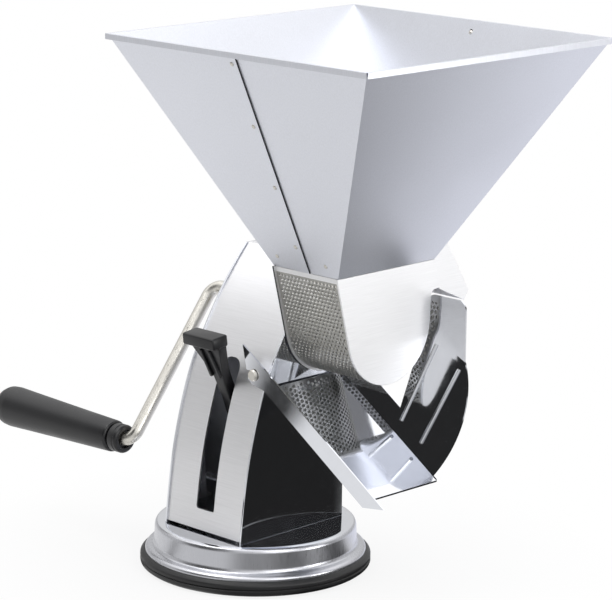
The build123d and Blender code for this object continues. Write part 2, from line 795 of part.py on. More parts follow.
def make_hopper_hem():
    """Folded hem outside the mouth, with open mitres at the corners."""
    half = hopper_side / 2 + hem_out
    x0 = hopper_x - half
    y0 = hopper_y - half
    hem = block(x0, x0 + 2 * half, y0, y0 + 2 * half, hopper_top_z - hem_h, hopper_top_z)
    hem -= hopper_solid(-0.05)
    for sx in (-1, 1):
        for sy in (-1, 1):
            corner = Pos(hopper_x + sx * half, hopper_y + sy * half, hopper_top_z)
            hem -= corner * (Rot(0, 0, 45 * sx * sy) * Box(8.0, hem_gap, 20))
    return hem


def make_hopper_halves():
    """Crank-side half lies outside, free-end half inside, lapped at the seams."""
    shell = hopper_solid(0) - hopper_solid_inner()
    split_x = seam_x - seam_lap
    big = 400.0
    left_space = block(split_x - big, split_x, -big, big, 0, big + hopper_top_z)
    right_space = block(split_x, split_x + big, -big, big, 0, big + hopper_top_z)
    lap_space = block(split_x - 3.0, seam_x, -big, big, hopper_low_z, hopper_top_z - hem_h - 0.3)
    lap = (hopper_solid(hopper_wall) - hopper_solid(0)) & lap_space
    hem = make_hopper_hem()
    left = (shell & left_space) + (hem & left_space) + lap
    right = (shell & right_space) + (hem & right_space)
    return left, right


def hopper_solid_inner():
    """Space inside the hopper, run past both ends so that the shell is open."""
    wall = hopper_wall
    stretch = 2.0 / hopper_rise
    low_x = mouth_low_x - 2 * wall - (hopper_side - mouth_low_x) * stretch
    low_y = mouth_low_y - 2 * wall - (hopper_side - mouth_low_y) * stretch
    top_x = hopper_side - 2 * wall + (hopper_side - mouth_low_x) * stretch
    top_y = hopper_side - 2 * wall + (hopper_side - mouth_low_y) * stretch
    shift_x = (hopper_x - low_centre[0]) * stretch
    shift_y = (hopper_y - low_centre[1]) * stretch
    low = (low_centre[0] - shift_x, low_centre[1] - shift_y)
    high = (hopper_x + shift_x, hopper_y + shift_y)
    return frustum((low_x, low_y), low, hopper_low_z - 2.0, (top_x, top_y), high, hopper_top_z + 2.0)


def rivet_at(x, z, back, layers):
    """Domed rivet through the front or back wall, square to it."""
    y = hopper_side_y(z, back)
    rise = (hopper_side_y(z + 1, back) - hopper_side_y(z, back))
    normal = Vector(0, 1, -rise) if back else Vector(0, -1, rise)
    out = (layers - 1) * hopper_wall
    level = out * (1 if back else -1)
    plane = Plane(origin=(x, y + level, z), z_dir=normal)
    depth = layers * hopper_wall / math.sqrt(1 + rise * rise)
    dome = Cylinder(rivet_head_r, rivet_head_h, align=(Align.CENTER, Align.CENTER, Align.MIN))
    dome = chamfer(dome.edges().group_by(Axis.Z)[-1], rivet_head_h * 0.7)
    shank = Pos(0, 0, -depth) * Cylinder(rivet_r, depth, align=(Align.CENTER, Align.CENTER, Align.MIN))
    tail = Pos(0, 0, -depth - 0.6) * Cylinder(rivet_head_r * 0.85, 0.6,
                                              align=(Align.CENTER, Align.CENTER, Align.MIN))
    hole = Pos(0, 0, -depth - 3) * Cylinder(rivet_r, depth + 6, align=(Align.CENTER, Align.CENTER, Align.MIN))
    return plane * (dome + shank + tail), plane * hole


def seam_rivet_places():
    """Rivet stations up both seams."""
    first = hopper_low_z + 16.0
    last = hopper_top_z - 7.0
    return [first + (last - first) * k / 3 for k in range(4)]


def make_spigot():
    """Collar inside the hopper's foot that locates it in the throat."""
    t = spigot_sheet
    play = spigot_play
    x0 = trough_x0 + collar_sheet + play
    x1 = trough_x1 - collar_sheet - play
    y0 = trough_front_top(trough_r, trough_top_z) + collar_sheet + play
    y1 = throat_back_y - collar_sheet - play
    z0 = throat_z - spigot_drop
    z1 = hopper_low_z + spigot_rise
    tube = block(x0, x1, y0, y1, z0, z1) - block(x0 + t, x1 - t, y0 + t, y1 - t, z0 - 1, z1 + 1)
    lip = hopper_solid(-hopper_wall) & block(x0 - 20, x1 + 20, y0 - 20, y1 + 20, hopper_low_z, z1)
    lip -= block(x0 + t, x1 - t, y0 + t, y1 - t, z0 - 1, z1 + 1)
    low_lip = lip & block(x0 - 20, x1 + 20, y0 - 20, y1 + 20, hopper_low_z, hopper_low_z + 1.0)
    return tube + low_lip


# ================================================================ tray and hood
def floor_z(x):
    """Top of the tray's floor at an X station."""
    return tray_z - tray_fall * (x - tray_x0)


def tray_section(back_height):
    """Tray's section at the column, front wall and back wall of a given height."""
    t = tray_sheet
    z = tray_z
    slope = (guard_y - tray_back_y) / guard_bend_h
    knee = min(back_height, guard_bend_h)
    y_knee = tray_back_y + slope * knee
    pts = [
        (tray_front_y - t, z + tray_wall_h),
        (tray_front_y, z + tray_wall_h),
        (tray_front_y, z),
        (tray_back_y, z),
        (y_knee, z + knee),
    ]
    outer = [(y_knee + t, z + knee), (tray_back_y + t * 0.55, z - t), (tray_front_y - t, z - t)]
    if back_height > guard_bend_h:
        pts.append((guard_y, z + back_height))
        outer.insert(0, (guard_y + t, z + back_height))
    return yz_face(pts + outer)


def slide_down(face, x0, x1):
    """Sheared prism of a YZ section, running down the tray's fall."""
    length = x1 - x0
    placed = Plane.YZ.offset(x0) * (Pos(0, floor_z(x0) - tray_z) * face)
    direction = Vector(1, 0, -tray_fall)
    return extrude(placed, amount=length * direction.length, dir=direction)


def make_juice_tray():
    """Polished tray: sloping floor, low front wall with its hook, high back guard."""
    low = slide_down(tray_section(low_guard_h), tray_x0, guard_x0 + 2)
    high = slide_down(tray_section(140.0), guard_x0, tray_wall_end_x)
    high -= block(0, 200, -100, 200, guard_top_z, 400)
    high -= guard_front_cut()
    high -= guard_corner_cut()
    tray = low + high
    for x_low, x_high in guard_ribs:
        tray += guard_rib(x_low, x_high)
    tray += make_hook_tongue()
    tray -= rod_x(trough_r + trough_clear, 0, 200, shaft_y, shaft_z)
    tray -= front_wall_end_cut()
    return tray


def guard_front_cut():
    """Everything in front of the tray's free end: level lip, bulge, upright edge."""
    z_tip = floor_z(tray_end_x - 3.0)
    z_bend = floor_z(guard_x1) + guard_bend_h
    big = 300.0
    edges = [
        Line((tray_end_x - 3.0, -50.0), (tray_end_x - 3.0, z_tip)),
        ThreePointArc((tray_end_x - 3.0, z_tip),
                      (guard_x1 + guard_bulge, z_tip + (z_bend - z_tip) * 0.45),
                      (guard_x1, z_bend)),
        Line((guard_x1, z_bend), (guard_x1, guard_top_z - guard_corner_r)),
        ThreePointArc((guard_x1, guard_top_z - guard_corner_r),
                      (guard_x1 - guard_corner_r * 0.293, guard_top_z - guard_corner_r * 0.293),
                      (guard_x1 - guard_corner_r, guard_top_z)),
        Line((guard_x1 - guard_corner_r, guard_top_z), (guard_x1 - guard_corner_r, big)),
        Line((guard_x1 - guard_corner_r, big), (big, big)),
        Line((big, big), (big, -50.0)),
        Line((big, -50.0), (tray_end_x - 3.0, -50.0)),
    ]
    face = Plane.XZ.offset(-100.0) * make_face(edges)
    return extrude(face, amount=100.0 - (tray_back_y + 0.3))


def guard_rib(x_low, x_high):
    """Stiffening bead up the leaning part of the guard."""
    lean = (guard_y - tray_back_y) / guard_bend_h
    low = Vector(x_low, tray_back_y + lean * rib_low_h, floor_z(x_low) + rib_low_h)
    high = Vector(x_high, tray_back_y + lean * rib_high_h, floor_z(x_high) + rib_high_h)
    run = high - low
    return Plane(origin=(low + high) / 2, z_dir=run) * Cylinder(rib_r, run.length)


def guard_corner_cut():
    """Rounds the guard's rear top corner."""
    r = guard_corner_r
    x = guard_x0
    z = guard_top_z
    square = Pos(x + r / 2, z - r / 2) * Rectangle(r, r)
    square -= Pos(x + r, z - r) * Circle(r)
    return extrude(Plane.XZ.offset(-100.0) * square, amount=60.0)


def front_wall_end_cut():
    """Cuts the floor's end square and the front wall's end level."""
    big = 300.0
    floor_cut = block(tray_end_x, big, tray_front_y, tray_back_y + 0.3, -50, 400)
    x_low = tray_end_x + 2.0
    z_low = floor_z(x_low) - tray_sheet
    z_high = floor_z(tray_wall_end_x) + tray_wall_h
    outline = [(x_low, z_low), (tray_wall_end_x, z_high), (big, z_high), (big, -50), (x_low, -50)]
    face = Plane.XZ.offset(-tray_front_y) * make_face(Polyline(*outline, close=True))
    wall_cut = extrude(face, amount=10.0)
    return floor_cut + wall_cut


def make_hook_tongue():
    """Pointed end of the front wall, hooked over the stud on the column."""
    t = tray_sheet
    top_tip = floor_z(hook_x) + tray_wall_h
    x_in = tray_x0 + 0.5
    outline = [
        (hook_x, top_tip),
        (x_in, floor_z(x_in) + tray_wall_h),
        (x_in, floor_z(x_in) - t),
        (stud_x - 1.0, stud_z - 6.0),
        (stud_x - 5.0, stud_z - 2.4),
        (stud_x, stud_z - 2.4),
        (stud_x, stud_z + 2.4),
        (stud_x - 6.0, stud_z + 2.4),
    ]
    face = make_face(Polyline(*outline, close=True)) - Pos(stud_x, stud_z) * Circle(stud_r + seat)
    return extrude(Plane.XZ.offset(-tray_front_y) * face, amount=t)


def make_tray_stud():
    """Headed stud on the column's front that the tray hangs on."""
    y_sheet = front_y(stud_z)
    y_head = tray_front_y - tray_sheet - seat
    stud = rod_y(stud_r, stud_x, stud_z, y_head, y_sheet + 5.0)
    head = rod_y(stud_r + 1.6, stud_x, stud_z, y_head - 1.6, y_head)
    return stud + chamfer(head.edges().group_by(Axis.Y)[0], 0.8)


def make_tray_rest():
    """Small angle on the trough-side plate under the tray's upper end."""
    x0 = column_w / 2 + column_sheet
    x1 = x0 + 9.0
    t = 1.2
    under = tray_sheet * math.sqrt(1 + tray_fall ** 2) + seat
    z0 = floor_z(x0) - under
    z1 = floor_z(x1) - under
    outline = [(x0, z0 - 12), (x0 + t, z0 - 12), (x0 + t, z0 - t - tray_fall * t - 0.6),
               (x1, z1 - t - 0.6), (x1, z1), (x0, z0)]
    face = Plane.XZ.offset(-25.0) * make_face(Polyline(*outline, close=True))
    return extrude(face, amount=37.0)


def make_skin_hood():
    """Bent hood behind the trough: flange, ridge, roof and two end plates."""
    t = hood_sheet
    y_in = throat_back_y
    z_foot = skin_head_z + 1.0
    z_bend = throat_z - 2.0
    foot = (y_in, z_foot)
    top_foot = (y_in, z_bend)
    ridge = (hood_ridge_y, hood_ridge_z)
    eave = (hood_eave_y, hood_eave_z)
    lip = (hood_eave_y - 3.4, hood_eave_z - 5.7)
    centre = [foot, top_foot, ridge, eave, lip]
    strip = make_face(Polyline(*centre, *offset_back(centre, t), close=True))
    hood = along_x(strip, trough_x0, trough_x1)
    end = yz_face([top_foot, ridge, eave, lip, (ear_y + 0.6, ear_z - 1.0), (y_in + 3.0, z_foot)])
    x1 = trough_x1
    hood += along_x(end, x1 - t, x1)
    hood += along_x(end, trough_x0, trough_x0 + t)
    return hood


def offset_back(points, t):
    """Inner side of a bent strip, walked backwards, t inside the given line."""
    inner = []
    last = len(points) - 1
    for i, (y, z) in enumerate(points):
        normals = []
        for a, b in ((i - 1, i), (i, i + 1)):
            if a < 0 or b > last:
                continue
            dy = points[b][0] - points[a][0]
            dz = points[b][1] - points[a][1]
            length = math.hypot(dy, dz)
            normals.append((dz / length, -dy / length))
        ny = sum(n[0] for n in normals)
        nz = sum(n[1] for n in normals)
        scale = t * len(normals) / (ny * ny + nz * nz)
        inner.append((y + ny * scale, z + nz * scale))
    return inner[::-1]


# ================================================================ build
def build():
    """All pieces by node name."""
    hopper_left, hopper_right = make_hopper_halves()
    rivets = []
    for back in (False, True):
        for z in seam_rivet_places():
            rivet, hole = rivet_at(seam_x - seam_lap / 2, z, back, 2)
            hopper_left -= hole
            hopper_right -= hole
            rivets.append(rivet)
    pieces = {
        "suction_pad": make_suction_pad(),
        "base_cup": make_base_cup(),
        "column_front": make_column_front(),
        "column_crank_plate": make_side_plate(-1, plate_proud),
        "column_trough_plate": make_side_plate(1, 0.0),
        "column_back": make_column_back(),
        "foot_screws": make_foot_screws(),
        "lever_bracket": make_lever_bracket(),
        "lever_pin": make_lever_pin(),
        "stem_guide": make_stem_guide(),
        "guide_ring": make_guide_ring(),
        "plunger_stem": make_plunger_stem(),
        "suction_lever": make_suction_lever(),
        "trough_screen": make_trough_screen(),
        "trough_end_plate": make_free_end_plate(),
        "trough_crank_plate": make_crank_end_plate(),
        "trough_rivets": make_trough_rivets(),
        "throat_collar": make_throat_collar(),
        "skin_hood": make_skin_hood(),
        "outer_bush": make_bush(-column_w / 2 - column_sheet, -column_w / 2 + 3.0, rod_r, -1),
        "inner_bush": make_bush(column_w / 2 - 3.0, trough_x0, shaft_r, 1),
        "drive_shaft": make_drive_shaft(),
        "rotor_hub": make_rotor_hub(),
        "blade_wipers": make_wipers(),
        "shaft_nut": make_shaft_nut(),
        "crank_arm": make_crank_arm(),
        "cross_pin": make_cross_pin(),
        "rod_collar": make_rod_collar(),
        "grip": make_grip(),
        "grip_ferrule": make_grip_ferrule(),
        "grip_plug": make_grip_plug(),
        "push_nut": make_push_nut(),
        "hopper_crank_half": hopper_left,
        "hopper_free_half": hopper_right,
        "hopper_rivets": Compound(children=rivets),
        "hopper_spigot": make_spigot(),
        "juice_tray": make_juice_tray(),
        "tray_stud": make_tray_stud(),
        "tray_rest": make_tray_rest(),
    }
    return pieces


os.makedirs("parts", exist_ok=True)
for name, piece in build().items():
    export_step(piece, f"parts/{name}.step")
    print(name, round(piece.volume, 1))
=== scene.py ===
# %% [markdown]
# # A hand-cranked tomato strainer in Blender
# The metal frame of this object was drawn in CAD.  This file dresses it: it loads the CAD pieces where they
# stand, gives each one the finish of the real material, and models again the pieces whose looks depend on small
# shapes, such as the strainer's holes and the moulded grip.

# %% Load the frame
import math
import bmesh
import bpy
from mathutils import Matrix, Vector


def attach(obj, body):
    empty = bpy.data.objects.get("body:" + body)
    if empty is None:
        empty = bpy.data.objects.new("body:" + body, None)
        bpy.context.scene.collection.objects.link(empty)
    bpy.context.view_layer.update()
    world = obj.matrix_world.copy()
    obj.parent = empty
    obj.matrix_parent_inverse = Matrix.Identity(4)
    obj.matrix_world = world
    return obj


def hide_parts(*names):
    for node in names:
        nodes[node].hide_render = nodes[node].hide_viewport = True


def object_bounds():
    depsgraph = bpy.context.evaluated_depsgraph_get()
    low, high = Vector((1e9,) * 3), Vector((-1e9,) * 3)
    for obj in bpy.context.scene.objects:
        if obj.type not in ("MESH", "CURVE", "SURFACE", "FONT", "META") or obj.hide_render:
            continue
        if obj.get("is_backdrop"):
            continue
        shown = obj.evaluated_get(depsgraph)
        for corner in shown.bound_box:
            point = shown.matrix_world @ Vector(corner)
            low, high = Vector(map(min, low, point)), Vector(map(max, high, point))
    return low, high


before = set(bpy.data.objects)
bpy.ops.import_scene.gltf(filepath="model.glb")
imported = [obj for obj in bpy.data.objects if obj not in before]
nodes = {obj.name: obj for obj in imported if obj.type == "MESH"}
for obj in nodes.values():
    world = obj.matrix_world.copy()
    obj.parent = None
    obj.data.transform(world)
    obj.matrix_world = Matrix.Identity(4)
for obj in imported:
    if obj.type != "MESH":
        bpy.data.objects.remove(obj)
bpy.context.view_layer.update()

# %% [markdown]
# ## Colours and nodes
# A tone of steel or plastic is read off as a screen colour, but a shader works with linear light, so a
# short function converts it.  A material is a tree of nodes.  Adding and wiring each node takes several
# lines, so a second helper does both in one call, and every finish below stays short enough to read.

# %% A colour and a node helper
MM = 0.001


def hex_linear(code):
    """sRGB hex colour to the linear values that a shader wants."""
    parts = [int(code[i:i + 2], 16) / 255 for i in (1, 3, 5)]
    linear = [c / 12.92 if c <= 0.04045 else ((c + 0.055) / 1.055) ** 2.4 for c in parts]
    return (*linear, 1.0)


def add_node(tree, kind, settings=None, links=None):
    """Adds a node, sets its properties or inputs by name and joins its inputs to sockets."""
    made = tree.nodes.new(kind)
    for key, value in (settings or {}).items():
        if isinstance(key, str) and hasattr(made, key) and key not in made.inputs:
            setattr(made, key, value)
        else:
            made.inputs[key].default_value = value
    for key, socket in (links or {}).items():
        tree.links.new(socket, made.inputs[key])
    return made


def ramp(tree, stops, factor):
    """Colour ramp from (place, value) stops, where a value is a grey or a linear colour."""
    made = add_node(tree, "ShaderNodeValToRGB", links={"Fac": factor})
    band = made.color_ramp
    for n, (place, value) in enumerate(stops):
        stop = band.elements[n] if n < 2 else band.elements.new(place)
        stop.position = place
        stop.color = value if isinstance(value, tuple) else (value, value, value, 1)
    return made.outputs["Color"]


def multiply(tree, first, second, blend="MULTIPLY"):
    """Two tones blended into one; by default the one darkens the other."""
    made = add_node(tree, "ShaderNodeMix", {"data_type": "RGBA", "blend_type": blend, "Factor": 1.0},
                    {6: first, 7: second})
    return made.outputs[2]


# %% [markdown]
# ## The room
# Polished steel has almost no colour of its own.  It shows the room, so the room is designed first.  One
# even white surround would leave no face black, so glossy rays see a light room that is brightest overhead,
# with a bright window at the back right and two small dark patches.  The tray's guard mirrors one of them
# and the cup's polished top the other.  Matt pieces get plain, even light, and the camera sees pure white.

# %% The room that the metal reflects
world = bpy.data.worlds.new("white_studio")
bpy.context.scene.world = world
world.use_nodes = True
room = world.node_tree
room.nodes.clear()
look = add_node(room, "ShaderNodeTexCoord")
split = add_node(room, "ShaderNodeSeparateXYZ", links={"Vector": look.outputs["Generated"]})
height = ramp(room, [(0.0, 0.60), (0.50, 0.62), (0.60, 0.78), (0.75, 0.85), (0.83, 1.50), (1.0, 1.50)],
              add_node(room, "ShaderNodeMapRange", {"From Min": -1.0, "From Max": 1.0},
                       {"Value": split.outputs["Z"]}).outputs["Result"])


def patch(direction, stops):
    """Tone by how closely a ray points in a direction, where 1 is straight at it."""
    closeness = add_node(room, "ShaderNodeVectorMath", {"operation": "DOT_PRODUCT", 1: direction},
                         {0: look.outputs["Generated"]})
    return ramp(room, stops, closeness.outputs["Value"])


for_cup = patch((0.682, 0.695, 0.227), [(0.0, 1.0), (0.975, 1.0), (0.985, 0.05), (1.0, 0.03)])
for_guard = patch((-0.23, -0.86, 0.46), [(0.0, 1.0), (0.86, 1.0), (0.93, 0.05), (1.0, 0.03)])
window = patch((0.50, 0.64, 0.58), [(0.0, 1.0), (0.88, 1.0), (0.95, 1.10), (1.0, 1.10)])
seen = multiply(room, multiply(room, height, window), multiply(room, for_cup, for_guard))
rays = add_node(room, "ShaderNodeLightPath")
soft = add_node(room, "ShaderNodeMix", {"data_type": "RGBA", 6: (0.50, 0.50, 0.51, 1)},
                {"Factor": rays.outputs["Is Glossy Ray"], 7: seen})
shown = add_node(room, "ShaderNodeMix", {"data_type": "RGBA", 7: (1, 1, 1, 1)},
                 {"Factor": rays.outputs["Is Camera Ray"], 6: soft.outputs[2]})
sky = add_node(room, "ShaderNodeBackground", {"Strength": 1.0}, {"Color": shown.outputs[2]})
add_node(room, "ShaderNodeOutputWorld", links={"Surface": sky.outputs["Background"]})
print("the room has", len(room.nodes), "nodes")

# %% [markdown]
# ## The sheet on the floor
# The camera sees white paper with a faint shadow.  Polished steel also sees dark cloths that lie on it.
# The wide one, at the back right, gives the column's polished side its black reflection, and a narrow strip
# at the left front draws a dark streak on the tray's low wall.  Real cloths would show in the picture, so
# they exist only for glossy rays, as wedges between two bearings measured round the object.

# %% Paper and cloths
bpy.ops.object.select_all(action="DESELECT")
bpy.ops.mesh.primitive_circle_add(vertices=96, radius=1.6, fill_type="NGON", location=(0, 0, -0.0006))
floor = bpy.context.active_object
floor.name = "studio_floor"
floor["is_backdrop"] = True
paper = bpy.data.materials.new("white_paper_sheet")
paper.use_nodes = True
tree = paper.node_tree
tree.nodes.clear()
place = add_node(tree, "ShaderNodeTexCoord")
flat = add_node(tree, "ShaderNodeVectorMath", {"operation": "LENGTH"}, {0: place.outputs["Object"]})
axes = add_node(tree, "ShaderNodeSeparateXYZ", links={"Vector": place.outputs["Object"]})
bearing = add_node(tree, "ShaderNodeMath", {"operation": "ARCTAN2"},
                   {0: axes.outputs["Y"], 1: axes.outputs["X"]})
turn = add_node(tree, "ShaderNodeMapRange", {"From Min": -math.pi, "From Max": math.pi},
                {"Value": bearing.outputs["Value"]})
cool = (1.12, 1.14, 1.26, 1.0)
cloth = ramp(tree, [(0.0, 1.0), (0.132, 1.0), (0.140, 0.05), (0.150, 0.05), (0.157, 1.0), (0.30, 1.0),
                    (0.345, 0.32), (0.405, 0.32), (0.44, 0.02), (0.632, 0.02), (0.648, 1.0), (0.70, cool),
                    (1.0, 1.0)], turn.outputs["Result"])
beyond = ramp(tree, [(0.0, 0.0), (0.52, 0.0), (0.60, 0.90), (1.0, 0.90)], flat.outputs["Value"])
far = ramp(tree, [(0.0, 1.0), (0.60, 0.98), (0.90, 0.90), (1.0, 0.85)], flat.outputs["Value"])
fade = multiply(tree, multiply(tree, cloth, beyond, "LIGHTEN"), far)
rays = add_node(tree, "ShaderNodeLightPath")
matt = add_node(tree, "ShaderNodeBsdfDiffuse", {"Color": (0.86, 0.86, 0.865, 1)})
mirrored = add_node(tree, "ShaderNodeEmission", {"Strength": 1.0}, {"Color": fade})
white = add_node(tree, "ShaderNodeEmission", {"Color": (1, 1, 1, 1), "Strength": 1.0})
for_metal = add_node(tree, "ShaderNodeMixShader", links={
    0: rays.outputs["Is Glossy Ray"], 1: matt.outputs["BSDF"], 2: mirrored.outputs["Emission"]})
shade = ramp(tree, [(0.0, 0.80), (0.09, 0.88), (0.22, 1.0)], flat.outputs["Value"])
keep = add_node(tree, "ShaderNodeMath", {"operation": "MULTIPLY"},
                {0: rays.outputs["Is Camera Ray"], 1: shade})
both = add_node(tree, "ShaderNodeMixShader", links={
    0: keep.outputs["Value"], 1: for_metal.outputs["Shader"], 2: white.outputs["Emission"]})
add_node(tree, "ShaderNodeOutputMaterial", links={"Surface": both.outputs["Shader"]})
floor.data.materials.append(paper)
print("paper of", round(2000 * max(v.co.x for v in floor.data.vertices)), "mm across")

# %% [markdown]
# ## Lamps
# Sheet metal is photographed with large soft boxes, because a small lamp would leave a hard white spot on
# each face.  Three large boxes hang above and to the right.  The small one stands low at the right, where
# the trough's satin end plate looks at it, and lifts that plate nearly to white without lighting the rest.


# %% Soft lamps
def soft_lamp(name, place, aim, size, power):
    """Square soft box that points at a place."""
    data = bpy.data.lights.new(name, "AREA")
    data.size = size
    data.energy = power
    lamp = bpy.data.objects.new(name, data)
    bpy.context.scene.collection.objects.link(lamp)
    lamp.location = place
    lamp.rotation_euler = (Vector(aim) - Vector(place)).to_track_quat("-Z", "Y").to_euler()
    return lamp


soft_lamp("key_box", (-0.35, -0.55, 1.55), (0.02, 0, 0.17), 0.7, 6)
soft_lamp("top_box", (0.25, 0.2, 1.5), (0.03, 0, 0.15), 1.1, 6)
soft_lamp("side_box", (1.35, -0.35, 0.75), (0.04, 0, 0.16), 0.8, 5)
soft_lamp("low_right_box", (1.15, 0.50, 0.19), (0.08, 0.02, 0.16), 0.36, 3.2)

# %% [markdown]
# ## The camera
# The photograph was taken with a long lens from the front right, a little above the table.  Its angles and
# its distance could be guessed by eye, but a few pixels of error would hide real faults of shape, so they
# were fitted to points of the photo: the base's ellipse, the column and the hopper's corners.

# %% The camera of the photograph
azimuth, elevation, roll = (math.radians(v) for v in (44.464, 13.097, 0.594))
away = 1667.58 * MM
target = Vector((20.80, 20.42, 163.0)) * MM
back = Vector((math.sin(azimuth) * math.cos(elevation), -math.cos(azimuth) * math.cos(elevation),
               math.sin(elevation)))
right = Vector((math.cos(azimuth), math.sin(azimuth), 0))
up = back.cross(right)
rolled_right = right * math.cos(roll) + up * math.sin(roll)
rolled_up = up * math.cos(roll) - right * math.sin(roll)
camera_data = bpy.data.cameras.new("photo_camera")
camera_data.sensor_width = 36
camera_data.lens = 2800 / 612 * 36
camera = bpy.data.objects.new("photo_camera", camera_data)
bpy.context.scene.collection.objects.link(camera)
camera.matrix_world = Matrix.Translation(target + back * away) @ Matrix(
    (rolled_right, rolled_up, back)).transposed().to_4x4()
camera_data.clip_start = 0.05
camera_data.clip_end = 20
bpy.context.scene.camera = camera
bpy.context.scene.view_settings.view_transform = "Standard"
print("camera at mm:", [round(1000 * v) for v in camera.location])

# %% [markdown]
# ## Steel
# All the metal is stainless steel, and its surface differs: satin sheet, brushed plate, mirror-polished sheet,
# drawn bar.  The screen and the cup are toned darker than the steel's own colour, and the cut edges near black:
# painted shade.  A picture of brushed metal would blur close up, so fine stretched noise draws the lines.  They
# change the gloss, the tone and the relief together, as real scratches do.  Real brushing lines are about 0.05
# mm apart.  They are drawn at 0.4 or 0.5 mm, coarser than real, so that a render can hold them.


# %% Steel
def start_material(name):
    """Empty node material with its output; returns material and tree."""
    material = bpy.data.materials.new(name)
    material.use_nodes = True
    material.node_tree.nodes.clear()
    return material, material.node_tree


def end_material(tree, shader):
    add_node(tree, "ShaderNodeOutputMaterial", links={"Surface": shader.outputs[0]})


def brushed_steel(name, hex_code, grain, rough, spread, line_mm, dent=0.15):
    """Stainless sheet rubbed along one axis (grain is x, y or z): fine lines in gloss, tone and relief."""
    material, tree = start_material(name)
    place = add_node(tree, "ShaderNodeTexCoord")
    across = 1 / (line_mm * MM)
    scale = [across, across, across]
    scale["xyz".index(grain)] = across / 60
    lined = add_node(tree, "ShaderNodeMapping", {"Scale": tuple(scale)}, {"Vector": place.outputs["Object"]})
    lines = add_node(tree, "ShaderNodeTexNoise", {"Scale": 1.0, "Detail": 3.0, "Roughness": 0.6},
                     {"Vector": lined.outputs["Vector"]})
    cloud = add_node(tree, "ShaderNodeTexNoise", {"Scale": 14.0, "Detail": 2.0},
                     {"Vector": place.outputs["Object"]})
    tone = ramp(tree, [(0.25, tuple(0.90 * c for c in hex_linear(hex_code)[:3]) + (1,)),
                       (0.75, hex_linear(hex_code))], lines.outputs["Fac"])
    gloss = add_node(tree, "ShaderNodeMapRange", {"From Min": 0.3, "From Max": 0.7,
                     "To Min": rough - spread, "To Max": rough + spread}, {"Value": lines.outputs["Fac"]})
    gloss_more = add_node(tree, "ShaderNodeMapRange", {"From Min": 0.3, "From Max": 0.7,
                          "To Min": -spread * 0.6, "To Max": spread * 0.6}, {"Value": cloud.outputs["Fac"]})
    total = add_node(tree, "ShaderNodeMath", {"operation": "ADD", "use_clamp": True},
                     {0: gloss.outputs["Result"], 1: gloss_more.outputs["Result"]})
    relief = add_node(tree, "ShaderNodeBump", {"Strength": dent, "Distance": 0.02 * MM},
                      {"Height": lines.outputs["Fac"]})
    steel = add_node(tree, "ShaderNodeBsdfPrincipled", {"Metallic": 1.0},
                     {"Base Color": tone, "Roughness": total.outputs["Value"],
                      "Normal": relief.outputs["Normal"]})
    end_material(tree, steel)
    return material


def polished_steel(name, hex_code, rough, wave_mm=45.0, wave=0.25):
    """Mirror-polished sheet: it's never quite flat, so the mirror image swims a little."""
    material, tree = start_material(name)
    place = add_node(tree, "ShaderNodeTexCoord")
    slow = add_node(tree, "ShaderNodeTexNoise", {"Scale": 1 / (wave_mm * MM), "Detail": 1.0},
                    {"Vector": place.outputs["Object"]})
    smear = add_node(tree, "ShaderNodeTexNoise", {"Scale": 1 / (6 * MM), "Detail": 4.0, "Roughness": 0.65},
                     {"Vector": place.outputs["Object"]})
    gloss = add_node(tree, "ShaderNodeMapRange", {"From Min": 0.3, "From Max": 0.75,
                     "To Min": rough * 0.6, "To Max": rough * 1.5}, {"Value": smear.outputs["Fac"]})
    tone = ramp(tree, [(0.2, tuple(0.95 * c for c in hex_linear(hex_code)[:3]) + (1,)),
                       (0.8, hex_linear(hex_code))], smear.outputs["Fac"])
    relief = add_node(tree, "ShaderNodeBump", {"Strength": wave, "Distance": 0.4 * MM},
                      {"Height": slow.outputs["Fac"]})
    steel = add_node(tree, "ShaderNodeBsdfPrincipled", {"Metallic": 1.0},
                     {"Base Color": tone, "Roughness": gloss.outputs["Result"],
                      "Normal": relief.outputs["Normal"]})
    end_material(tree, steel)
    return material


hopper_steel = brushed_steel("satin_rolled_stainless", "#E6E8EF", "z", 0.42, 0.04, 0.5, dent=0.08)
column_satin = brushed_steel("brushed_stainless_column", "#F4F4F6", "x", 0.40, 0.05, 0.4)
plate_satin = brushed_steel("brushed_stainless_plate", "#F6F6F7", "y", 0.52, 0.05, 0.4, dent=0.08)
# The screen's steel is toned darker than its own colour: painted shade of the dim trough behind it.
screen_steel_shade_toned = brushed_steel("punched_screen_shade_toned", "#B4B3AF", "y", 0.42, 0.05, 0.4, dent=0.08)
# Near-black steel for cut edges: painted shade, the thin shadow line along the seams and plate edges.
edge_shade_paint = brushed_steel("steel_edge_painted_shade", "#4A4A4D", "z", 0.55, 0.05, 0.5, dent=0.08)
mirror_sheet = polished_steel("mirror_polished_stainless", "#DCDEE3", 0.06)
# The cup's steel is toned darker than its own colour: painted shade.
cup_steel_shade_toned = brushed_steel("spun_cup_shade_toned", "#C2C3C8", "z", 0.30, 0.05, 0.4)
bright_bar = polished_steel("drawn_bright_bar", "#D6D3CC", 0.34, 8.0, 0.1)
print("steel:", [finish.name for finish in (hopper_steel, column_satin, plate_satin, screen_steel_shade_toned, edge_shade_paint,
                                            mirror_sheet, cup_steel_shade_toned, bright_bar)])

# %% [markdown]
# ## Rubber and plastics
# The lever and the grip are black moulded plastic, the pad is rubber, and the hidden bushes, rotor and
# wipers are white nylon and pale silicone.  A mould leaves its own surface: a fine grain and patches of
# slightly different gloss.  Real grain is nearer 0.1 mm.  It's drawn at about 0.5 mm, coarser than real,
# for the same reason as the brushing lines.


